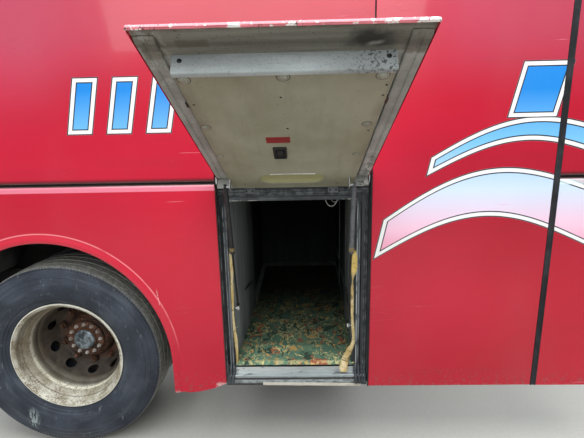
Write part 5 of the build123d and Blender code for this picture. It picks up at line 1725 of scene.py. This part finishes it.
def makeBayTrim():
    # strips on the bay's front wall, an upright and a rail, and a black strip for the painted shade in the gap of the
    # rear wall's felt
    def frontWall(y):
        return 1524 + (y - 150) * 43 / 1600 if y > 150 else 1524

    trim = Stock()
    for y in (606, 1180):
        x = frontWall(y)
        trim.block((x - 9, y - 16, 452), (x + 0.4, y + 16, 1348), 2.5)
    path = [(frontWall(y) - 4, y, 640) for y in range(130, 1700, 60)]
    trim.sweep(path, [(-4, -22), (-4, 22), (-2, 24), (2, 24), (4, 22), (4, -22), (2, -24), (-2, -24)], (0, 0, 1))
    trim.piece("bay_wall_trim", "trim_paint", "body_side", "bay_metal", sharp=35)
    spots = [(place(frontWall(y) - 8.2, y, 640), Vector((-1, 0, 0))) for y in range(170, 1650, 90)]
    look = dict(radius=0.005, high=0.0024)
    rivets.grow("wall_trim_rivets", spots, "rod_steel", "body_side", "bay_metal", sharp=60, **look)
    # a black strip where the gap in the felt shows only shade: painted shade
    slit = Stock()
    a, b = Vector((905.2, 429.6, 714.8)), Vector((920.2, 728.7, 657.5))
    path = [spot + Vector((0, 0, sin(i / 12 * pi) * 5)) for i, spot in enumerate(spread(a, b, 12))]
    sizes = [0.25 + 0.95 * sin(pi * (i + 0.6) / 13.2) for i in range(13)]
    slit.sweep(path, oval(1.6, 10, 10), (0, 0, 1), sizes)
    slit.piece("felt_gap", "deep_black", "body_side", "bay_board", sharp=60)
    # angle trims along the felt's top and floor edges
    angle = Stock()
    for z, way in ((451, 1), (1349, -1)):
        path = [(frontWall(y) - 1, y, z) for y in range(92, 1740, 80)]
        angle.sweep(
            path, [(0, 0), (-14, 0), (-15, 0.8 * way), (-1.2, 1.6 * way), (-1.0, 15 * way), (0, 15 * way)], (0, 0, 1)
        )
    angle.piece("bay_angles", "trim_paint", "body_side", "bay_metal", sharp=35)


makeDoor()
makeBayTrim()
print("doorway made")


# Struts: collars on the tubes, bright ball ends on the rods
struts = {
    "left": (918.0, 749.0, "strut_black"),
    "right": (1488.0, 646.0, "strut_grey"),
    "stud": (113.0, 41.0),
    "depth": 100.0,
    "tube": 348.0,
}


def makeStruts():
    for name in ("left", "right"):
        x, height, finish = struts[name]
        foot = place(x, struts["depth"], height)
        head = flapPlace(x - hinge["x"], *struts["stud"])
        way = (head - foot).normalized()
        run = (head - foot).length * 1000
        low = run - struts["tube"]

        def onStrut(a, b, c, foot=foot, way=way):
            # c runs up the strut from the stud on the bay's wall
            return foot + (Vector((1, 0, 0)) * a + way.cross(Vector((1, 0, 0))) * b + way * c) / 1000

        def spin(stock, profile, steps=28):
            stock.lathe(profile, (0, 0, 0), (0, 0, 1), steps, closed=False)

        caps = Stock(onStrut)
        collar = ((-0.5, 5.2), (-0.5, 8.4), (1.5, 10.4), (6, 11.1), (7, 11.6), (11, 11.6), (12, 11.05))
        spin(caps, [(low + along, out) for along, out in collar])
        spin(caps, [(run - 40, 11.05), (run - 39, 11.5), (run - 34, 11.5), (run - 33, 11.05)])
        spin(caps, [(run - 14.5, 11.1), (run - 13, 11.0), (run - 10.5, 7.6), (run - 9, 7.2)])
        caps.piece(f"strut_caps_{name}", finish, f"strut_tube_{name}", finish, sharp=40)
        bands = Stock(onStrut)
        for at in (low + 14, low + 21, low + 28):
            spin(bands, [(at, 11.0), (at + 0.6, 12.0), (at + 2.2, 12.4), (at + 3.8, 12.0), (at + 4.4, 11.0)])
        bands.piece(f"strut_bands_{name}", "band_tan", f"strut_tube_{name}", finish, sharp=60)
        # rod, neck, lock nut and ball socket
        rod = Stock(onStrut)
        socket = [
            (-11.2, 0), (-10.6, 3.8), (-8.8, 7.2), (-5.6, 9.9), (-1, 11.2), (3.5, 10.9), (6.5, 9.4), (8.6, 7.6),
            (21, 6.6), (22, 5.2), (23, 4.95)
        ]
        long = low + 60
        spin(rod, socket + [(long, 4.95), (long, 0)])
        for vert in rod.bm.verts:
            if vert.co.z < 12:  # the socket is flat on both sides of its stud
                vert.co.x = max(-5.6, min(5.6, vert.co.x))
        spin(rod, [(23, 4.9), (23.2, 8.6), (24, 9.2), (29, 9.2), (29.8, 8.6), (30, 4.9)], 6)
        rod.piece(f"strut_end_{name}", "rod_steel", f"strut_rod_{name}", "rod_steel", f"strut_rod_{name}", sharp=36)
        cup = Stock(onStrut)
        spin(cup, [(a * 1.04, r * 1.04) for a, r in socket[:8]] + [(15, 7.6), (17, 7.4), (17, 5)])
        for vert in cup.bm.verts:
            vert.co.x = max(-5.9, min(5.9, vert.co.x))
        cup.piece(f"strut_cup_{name}", "ball_steel", f"strut_rod_{name}", "rod_steel", sharp=36)
        side = -1 if name == "left" else 1
        ball = Stock()
        profile = [
            (-7.6, 0), (-7.2, 2.2), (-6.2, 3.9), (-4.9, 4.9), (6.2, 4.9), (7, 6.6), (7.4, 8.6), (9.4, 8.6), (10, 7.6),
            (10, 4.9)
        ]
        ball.lathe(profile, (x, struts["depth"], height), (side, 0, 0), 24, closed=False)
        ball.piece(f"ball_stud_{name}", "ball_steel", "body_side", "bright_steel", sharp=40)


makeStruts()
print("struts made")


# Perished foam along the seal, ragged where it has torn
foam = {
    "jamb": 79.6,  # the depth of the jamb's face behind the strips
    # x, depth, height, half the width and half the thickness of each strip, from the top down
    "left": (
        (898.6, 74.4, 1058, 5.0, 3.0), (898.2, 74.2, 1046, 9.0, 4.8), (898.0, 74.2, 1010, 9.6, 5.0),
        (897.6, 74.4, 947, 8.8, 4.8), (896.4, 74.6, 922, 6.2, 3.8), (894.8, 74.6, 895, 8.6, 4.8),
        (893.4, 74.4, 839, 9.4, 5.0), (891.6, 74.4, 770, 8.8, 5.0), (891.2, 74.4, 729, 7.8, 4.8),
        (894.0, 74.4, 653, 8.4, 4.8), (901.0, 74.4, 577, 9.4, 4.8), (903.2, 74.6, 500, 7.0, 4.0),
        (900.8, 74.8, 446, 4.4, 3.2),
    ),
    "right": (
        (1525.6, 68.0, 1068, 2.0, 1.6), (1521.0, 68.0, 1050, 8.0, 4.4), (1517.6, 68.0, 1036, 15.0, 7.0),
        (1514.6, 68.0, 1012, 19.6, 8.4), (1514.0, 68.0, 978, 20.4, 8.6), (1512.0, 68.4, 950, 16.0, 7.6),
        (1508.4, 69.4, 930, 7.6, 4.6), (1506.4, 70.4, 910, 3.2, 2.6), (1505.8, 71.0, 892, 3.2, 2.6),
        (1505.0, 71.0, 869, 7.0, 4.2), (1505.6, 71.0, 796, 8.0, 4.8), (1506.4, 71.0, 723, 7.8, 4.6),
        (1510.7, 71.0, 648, 8.0, 4.8), (1514.4, 71.0, 592, 8.4, 4.8), (1508.4, 70.4, 549, 11.0, 6.2),
        (1497.0, 71.0, 525, 14.6, 6.8), (1484.0, 71.2, 499, 17.0, 6.8), (1474.0, 70.8, 472, 19.0, 7.2),
        (1467.0, 64.0, 449, 21.0, 9.0), (1461.6, 51.0, 428, 22.0, 9.0), (1460.0, 44.0, 411, 18.0, 7.0),
    ),
}


def makeFoam():
    for name, node in (("left", "foam_strip_left"), ("right", "foam_strip_right")):
        line = smoothLine(foam[name], 12)
        stock = Stock()
        rings = []
        for i, (x, y, z, wide, thick) in enumerate(line):
            before, after = line[max(0, i - 1)], line[min(len(line) - 1, i + 1)]
            way = Vector(after[:3]) - Vector(before[:3])
            across = way.cross(Vector((0, 1, 0))).normalized()
            deep = across.cross(way).normalized()
            ring = []
            for a in (2 * pi * k / 22 for k in range(22)):
                out = across * cos(a) * wide + deep * sin(a) * thick
                spot = Vector((x, y, z)) + out
                spot += out * (noise.noise(spot / 9) * 0.22 + noise.noise(spot / 3) * 0.12)
                if z > 440:
                    spot.y = min(spot.y, foam["jamb"])
                ring.append(spot)
            rings.append(stock.ring(ring))
        stock.tube(rings)
        stock.piece(f"{node}_worn", "yellow_foam", "body_side", "yellow_foam", node, sharp=70)
    # the torn tuft over the bulb and the tape round the lower end
    tuft = Stock()
    for k in range(9):
        lean = (k - 4) * 2.0
        high = 34 + 9 * sin(k * 2.1)
        path = []
        for t in (i / 8 for i in range(9)):
            path.append((1512 + lean * t + ripple(k, t * 3, 1) * 2, 71 - k % 3 * 2 * t, 1030 + high * t))
        tuft.sweep(path, oval(1.3, 1.0, 6), (0, 1, 0), [1.1 - i * 0.11 for i in range(9)])
    tuft.piece("foam_tuft", "yellow_foam", "body_side", "yellow_foam", sharp=70)
    wrap = Stock()
    for at in (15.3, 17.4):
        i = int(at)
        a, b = (Vector(row) for row in foam["right"][i : i + 2])
        mid = a + (b - a) * (at - i)
        way = Vector((b - a)[:3]).normalized()
        side = way.cross(Vector((0, 1, 0))).normalized()
        path = []
        for t in (2 * pi * k / 28 for k in range(28)):
            across = side * cos(t) * mid[3] * 1.03
            path.append(Vector(mid[:3]) + across + side.cross(way) * sin(t) * mid[4] * 1.05)
        wrap.sweep(path, [(-0.8, -3), (-0.8, 3), (0.8, 3), (0.8, -3)], way, closed=True)
    for vert in wrap.bm.verts:
        vert.co.y = min(vert.co.y, foam["jamb"] + 0.1)
    wrap.piece("foam_tape", "band_tan", "body_side", "yellow_foam", sharp=60)


makeFoam()
print("foam strips made")


# Cloth on the bay's floor: dropped on it with a little spare width, so that it ruckles
cloth = {
    "outline": ((894, 102), (927, 806), (927, 1638), (1557, 1638), (1521, 102)),
    "floor": 450.0,
    "height": 461.5,
    "pitch": 13.0,
    "spare": -0.03,
    "frames": 22,
    "flat": (0.665, 1.58),
    "sheet": 1.1,
    # y and z of the rows that lead down over the floor's edge
    "apron": ((95, 451.4), (88.5, 451.6), (83.2, 450.4), (80.2, 446.5), (78, 441), (74, 438.2), (69, 437.6)),
}


def clothEdges(y):
    # where the cloth starts and ends across the bay at a depth
    (a, y0), (b, y1), _, (c, y2), (d, _) = cloth["outline"]
    left = a + (b - a) * min(1, max(0, (y - y0) / (y1 - y0)))
    return left, d + (c - d) * (y - y0) / (y2 - y0)


def makeCloth():
    (left, near), _, (_, far), (right, _), _ = cloth["outline"]
    columns = round((right - left) / cloth["pitch"])
    rows = round((far - near) / cloth["pitch"])
    mesh = bpy.data.meshes.new("floor_cloth_sheet")
    points = []
    for j in range(rows + 1):
        y = near + (far - near) * j / rows
        left, right = clothEdges(y)
        for i in range(columns + 1):
            x = left + (right - left) * i / columns
            lift = 2.2 + ripple(x / 95, y / 120, 3) * 3.4 + ripple(x / 38, y / 60, 9) * 1.6
            fray = ripple(x / 70, y / 70, 1) * 5 if j == 0 else 0
            pull = ripple(y / 60, i / 30, 7) * 3
            x += pull if i == 0 else -abs(pull) if i == columns else 0
            points.append(place(x, y + max(0, fray), cloth["floor"] + 2 + max(0, lift)))
    starts = (j * (columns + 1) + i for j in range(rows) for i in range(columns))
    faces = [(a, a + 1, a + columns + 2, a + columns + 1) for a in starts]
    mesh.from_pydata(points, [], faces)
    sheet = added("floor_cloth_sheet", mesh)
    ground = bpy.data.meshes.new("ground")
    corners = [place(x, y, cloth["floor"] + 0.2) for x, y in ((780, 0), (1680, 0), (1680, 1850), (780, 1850))]
    ground.from_pydata(corners, [], [(0, 1, 2, 3)])
    ground = added("ground", ground)
    ground.modifiers.new("collision", "COLLISION")
    ground.collision.thickness_outer = 0.001
    ground.collision.cloth_friction = 20
    falling = sheet.modifiers.new("cloth", "CLOTH")
    look = falling.settings
    look.quality = 6
    look.mass = 0.25
    look.tension_stiffness = look.compression_stiffness = 12
    look.shear_stiffness = 4
    look.bending_stiffness = 0.15
    look.shrink_min = cloth["spare"]
    falling.collision_settings.distance_min = 0.001
    falling.point_cache.frame_end = cloth["frames"]
    for number in range(1, cloth["frames"] + 1):
        scene.frame_set(number)
    shaped = sheet.evaluated_get(bpy.context.evaluated_depsgraph_get())
    fallen = bpy.data.meshes.new_from_object(shaped)
    sheet.modifiers.clear()
    sheet.data = fallen
    bpy.data.objects.remove(ground)
    scene.frame_set(1)
    low, high = (place(0, 0, cloth[key]).z for key in ("floor", "height"))
    reach = [vert.co.z for vert in sheet.data.vertices]
    peak = max(reach)
    for vert in sheet.data.vertices:
        x = vert.co.x * 1000 + origin["x"]
        y = min(far, max(near, vert.co.y * 1000 + origin["y"]))
        left, right = clothEdges(y)
        vert.co.x = place(min(right, max(left, x)), 0, 0).x
        vert.co.y = place(0, y, 0).y
        # heights are pressed softly under the cap
        over = max(0, vert.co.z - low - 0.0014)
        vert.co.z = low + 0.0014 + (high - low - 0.0014) * (1 - 2.718 ** (-over / 0.012))
    print("cloth's highest fold before the cap, mm:", round((peak - low) * 1000, 1))
    # the near edge hangs down the step and lies on the sill
    grown = bmesh.new()
    grown.from_mesh(sheet.data)
    first = [vert for vert in grown.verts if abs(vert.co.y - place(0, near, 0).y) < 0.0065 and vert.is_boundary]
    edge = sorted(first, key=lambda vert: vert.co.x)
    for depth, height in cloth["apron"]:
        row = []
        for vert in edge:
            x = vert.co.x * 1000 + origin["x"]
            wave = ripple(x / 45, depth / 20, 5)
            spot = place(x + wave, depth + ripple(x / 80, 6, 5) * 4, height + abs(wave) * 2.4)
            row.append(grown.verts.new(spot))
        for i in range(len(row) - 1):
            grown.faces.new((edge[i], row[i], row[i + 1], edge[i + 1]))
        edge = row
    bmesh.ops.recalc_face_normals(grown, faces=grown.faces)
    grown.to_mesh(sheet.data)
    grown.free()
    rounder = sheet.modifiers.new("round", "SUBSURF")
    rounder.levels = rounder.render_levels = 1
    wall = sheet.modifiers.new("wall", "SOLIDIFY")
    wall.thickness, wall.offset = cloth["sheet"] / 1000, 0
    sheet.data.materials.append(finishes["cloth"])
    settle(sheet, "body_side", "cloth", "floor_cloth", sharp=80)
    area = sum(face.area for face in sheet.data.polygons) / 2
    print("cloth's area, square metres:", round(area, 3))


makeCloth()
print("cloth laid")


# Chassis: air springs, brake chamber, damper, clamps on the axle, welds, ribs and rivets
chassis = {
    "springs": {"rear_air_spring": -420.0, "front_air_spring": 420.0},
    "springDepth": 850,
    "brake": (-160, 640, 632),
    "damper": (230, 935),
    "rail": ((810.0, 880.0), (890.0, 1000.0)),  # y, z of the inner rail's corners
    "cross": (915.0, 965.0),
    "tubes": (-700.0, 788.0, 2750.0),
    "posts": (-700.0, -25.0, 798.0, 1580.0, 1990.0, 2407.0, 2750.0),
    "bay": ((878.0, 1575.0), 1762.0, (435, 1360)),  # x of its ends, y of its back, z of its floor and roof
    "weldPitch": 0.0055,
    "axle": 75.0,
}


def makeSprings():
    rubber = [
        (616, 92), (610, 104), (611, 118), (618, 129), (630, 137), (648, 143.5), (668, 147.5), (690, 149.4),
        (712, 148.8), (732, 146), (748, 142.6), (757, 141.2), (766, 142.2), (780, 146), (796, 149), (810, 149.6),
        (826, 146.8), (840, 140.5), (852, 131.5), (861, 122), (866, 114), (868, 92),
    ]
    for node, x in chassis["springs"].items():
        stock = Stock()
        stock.lathe(rubber, (x, chassis["springDepth"], 0), (0, 0, 1), 72)
        stock.piece(node + "_bellows", "black_rubber", "body_side", "black_rubber", node, sharp=50)
        stock = Stock()
        piston = [
            (430, 0), (430, 84), (433, 88), (440, 89), (450, 87), (600, 97.5), (613, 100), (620, 98), (624, 92),
            (624, 0)
        ]
        plate = [(867, 0), (867, 114), (868.5, 119), (872, 121), (880, 121), (880, 0)]
        ring = [(859, 122.5), (860, 125.5), (864, 126.5), (868, 125), (869, 120), (864, 118)]
        stock.lathe(piston, (x, chassis["springDepth"], 0), (0, 0, 1), 72, closed=False)
        stock.lathe(plate, (x, chassis["springDepth"], 0), (0, 0, 1), 72, closed=False)
        stock.lathe(ring, (x, chassis["springDepth"], 0), (0, 0, 1), 72)
        stock.piece(node + "_metal", "frame_paint", "body_side", "frame_paint", sharp=36)
    spots = [(place(x, y, 880), Vector((0, 0, 1))) for x in chassis["springs"].values() for y in (750, 950)]
    size = dict(washer=0.013, washerHigh=0.003, across=0.01, high=0.01, stud=0.006, studHigh=0.01)
    bolts.grow("spring_nuts", spots, "rusty_iron", "body_side", "rusty_iron", **size)


def makeBrakes():
    stock = Stock()
    pot = [
        (0, 0), (0, 37), (3, 40), (50, 40), (55, 43), (60, 58), (66, 71), (74, 77.6), (84, 80), (103, 80), (107, 82),
        (110, 87), (112, 88), (123, 88), (125, 87), (128, 82), (132, 80), (208, 80), (222, 77.6), (231, 71),
        (237, 58), (240, 34), (240, 0),
    ]
    stock.lathe(pot, chassis["brake"], (0, 1, 0), 64, closed=False)
    stock.piece("brake_pot", "frame_paint", "body_side", "frame_paint", "brake_chamber", sharp=34)
    clamp = Stock()
    band = [(103, 80.6), (103.4, 84), (110, 90), (125, 90), (131.6, 84), (132, 80.6)]
    clamp.lathe(band, chassis["brake"], (0, 1, 0), 64)
    screw = [(-19, 0), (-19, 7), (-13, 7), (-13, 4), (13, 4), (13, 7.5), (20, 7.5), (20, 4), (26, 4), (26, 0)]
    middle, _, high = chassis["brake"]
    for side in (-1, 1):
        x = middle + side * 96
        for z in (high - 9, high + 9):
            clamp.block((x - 12, 746, z - 4), (x + 12, 770, z + 4), 1.5)
        clamp.lathe(screw, (middle + side * 98, 758, high), (0, 0, 1), 6, closed=False)
    nozzle = [(240, 0), (240, 15), (243, 17), (249, 17), (252, 14), (252, 0)]
    clamp.lathe(nozzle, chassis["brake"], (0, 1, 0), 24, closed=False)
    clamp.piece("chamber_clamp", "rusty_iron", "body_side", "frame_paint", sharp=36)
    size = dict(washer=0.012, washerHigh=0.003, across=0.0095, high=0.008, stud=0.005, studHigh=0.004)
    shield = boltCircle(8, 188, 640, 1, start=0.5)
    bolts.grow("shield_bolts", shield, "rusty_iron", "body_side", "rusty_iron", **size)
    # damper: collars on its cover, eyes and bushes
    damper = Stock()
    for z, r in ((662, 40), (930, 40), (404, 34)):
        collar = [(z - 5, r - 2), (z - 4, r + 1.4), (z + 4, r + 1.4), (z + 5, r - 2)]
        damper.lathe(collar, (*chassis["damper"], 0), (0, 0, 1), 48)
    eye = [(-24, 13), (-24, 27), (-22, 29), (22, 29), (24, 27), (24, 13)]
    nut = [(25, 0), (25, 18), (27, 20), (34, 20), (36, 18), (36, 0)]
    for z in (397, 940):
        damper.lathe(eye, (*chassis["damper"], z), (0, 1, 0), 40)
        damper.lathe(nut, (*chassis["damper"], z), (0, 1, 0), 6, closed=False)
    damper.piece("damper_eyes", "frame_paint", "body_side", "frame_paint", sharp=36)
    # clamps that hold the axle on its beam
    bow = Stock()
    reach = chassis["axle"] + 9
    nut = [(-22, 0), (-22, 14), (-20, 16), (-6, 16), (-4, 14), (-4, 8)]
    legs = (346, 380, 440, axleHigh)
    for y in (824, 876):
        path = [(-reach, y, z) for z in legs]
        path += [(-reach * cos(a), y, axleHigh + reach * sin(a)) for a in (pi * i / 24 for i in range(1, 24))]
        path += [(reach, y, z) for z in legs[::-1]]
        bow.sweep(path, oval(8, 8, 14), (0, 1, 0))
        for side in (-1, 1):
            bow.lathe(nut, (side * reach, y, 376), (0, 0, 1), 6, closed=False)
    for side in (-1, 1):
        bow.block((side * reach - 17, 806, 361), (side * reach + 17, 894, 372), 2)
    bow.piece("axle_clamps", "rusty_iron", "body_side", "rusty_iron", sharp=40)


def makeWelds():
    def square(axis, at, low, high):
        # a closed rectangle across one axis
        corners = (low, (high[0], low[1]), high, (low[0], high[1]), low)
        return [{"x": (at, a, b), "y": (a, at, b), "z": (a, b, at)}[axis] for a, b in corners]

    low, high = chassis["rail"]
    loops = [square("x", at, low, high) for at in (-699.5, 837.5, 1615.5, 2799.5)]
    z0, z1 = chassis["cross"]
    for x in chassis["tubes"]:
        loops += [square("y", at, (x, z0), (x + 50, z1)) for at in (53.5, 809.5)]
    for x in (838, 1575):
        for y in (84, 830, 1750):
            loops += [square("z", at, (x, y), (x + 40, y + 40)) for at in (435.5, 1359.5)]
    for x in chassis["posts"]:
        loops += [[(x, 53, z), (x + 50, 53, z)] for z in (1471.5, 1522.5, 2239.5)]
        loops += [[(x + side, 5, 1522.5), (x + side, 52, 1522.5)] for side in (0, 50)]
    curve = curveOf("weld_way", [[place(*point) for point in loop] for loop in loops])
    size = dict(pitch=chassis["weldPitch"], radius=0.0042)
    welds.grow("frame_welds", curve, "frame_paint", "body_side", "frame_paint", sharp=80, **size)


def makeBayOutside():
    (rear, front), end, (floor, roof) = chassis["bay"]
    ribs = Stock()

    def rib(start, finish, out):
        path = spread(Vector(start), Vector(finish), 14)
        sizes = [min(1, 0.25 + i * 0.4, 0.25 + (14 - i) * 0.4) for i in range(15)]
        section = [(20 * cos(t), 7 * sin(t) - 1) for t in (pi * k / 10 for k in range(11))]
        ribs.sweep(path, section, out, sizes)

    for x in (1008, 1117, 1226, 1335, 1444):
        rib((x, end, 520), (x, end, 1280), (0, 1, 0))
    for y in (250, 400, 550, 700, 1000, 1150, 1300, 1450, 1600):
        rib((front, y, 520), (front, y, 1280), (1, 0, 0))
        rib((rear, y, 520), (rear, y, 1280), (-1, 0, 0))
        if not 880 < y < 960:
            rib((940, y, roof), (1512, y, roof), (0, 0, 1))
            rib((940, y, floor), (1512, y, floor), (0, 0, -1))
    ribs.piece("bay_ribs", "bay_board", "body_side", "bay_board", sharp=30)
    spots = []
    for z in range(470, 1340, 86):
        spots += [(place(x, end, z), Vector((0, 1, 0))) for x in (893, 1560)]
        for x, way in ((rear, -1), (front, 1)):
            spots += [(place(x, y, z), Vector((way, 0, 0))) for y in (138, 818, 882, 1738)]
    for y in range(150, 1740, 88):
        spots += [(place(x, y, roof), Vector((0, 0, 1))) for x in (892, 1561)]
        spots += [(place(x, y, floor), Vector((0, 0, -1))) for x in (892, 1561)]
    for x in range(960, 1520, 90):
        spots += [(place(x, end, z), Vector((0, 1, 0))) for z in (462, 1338)]
    look = dict(radius=0.0052, high=0.0024)
    rivets.grow("bay_rivets", spots, "bay_metal", "body_side", "bay_metal", sharp=60, **look)


def makeFrontSkin():
    # the fixed panel between the two joints, with its edges turned in
    left, right, low, high = 1587.0, 2400.0, panels["skirt"] + 4, panels["waist"] - 4
    path = [(left, low, -1, -1, 0), (right, low, 1, -1, 0), (right, high, 1, 1, 0), (left, high, -1, 1, 0)]
    stock = Stock()
    border(stock, path + path[:1], fold[:5] + ((4, 14),))
    stock.sheet([[(x, z) for x, z, *_ in path]], lambda x, z: (x, 0, z))
    stock.piece(
        "front_skin", "crimson_paint", "body_side", "crimson_paint", "front_panel", solid=panels["sheet"], sharp=40
    )


makeSprings()
makeBrakes()
makeWelds()
makeBayOutside()
makeFrontSkin()
print("chassis made")
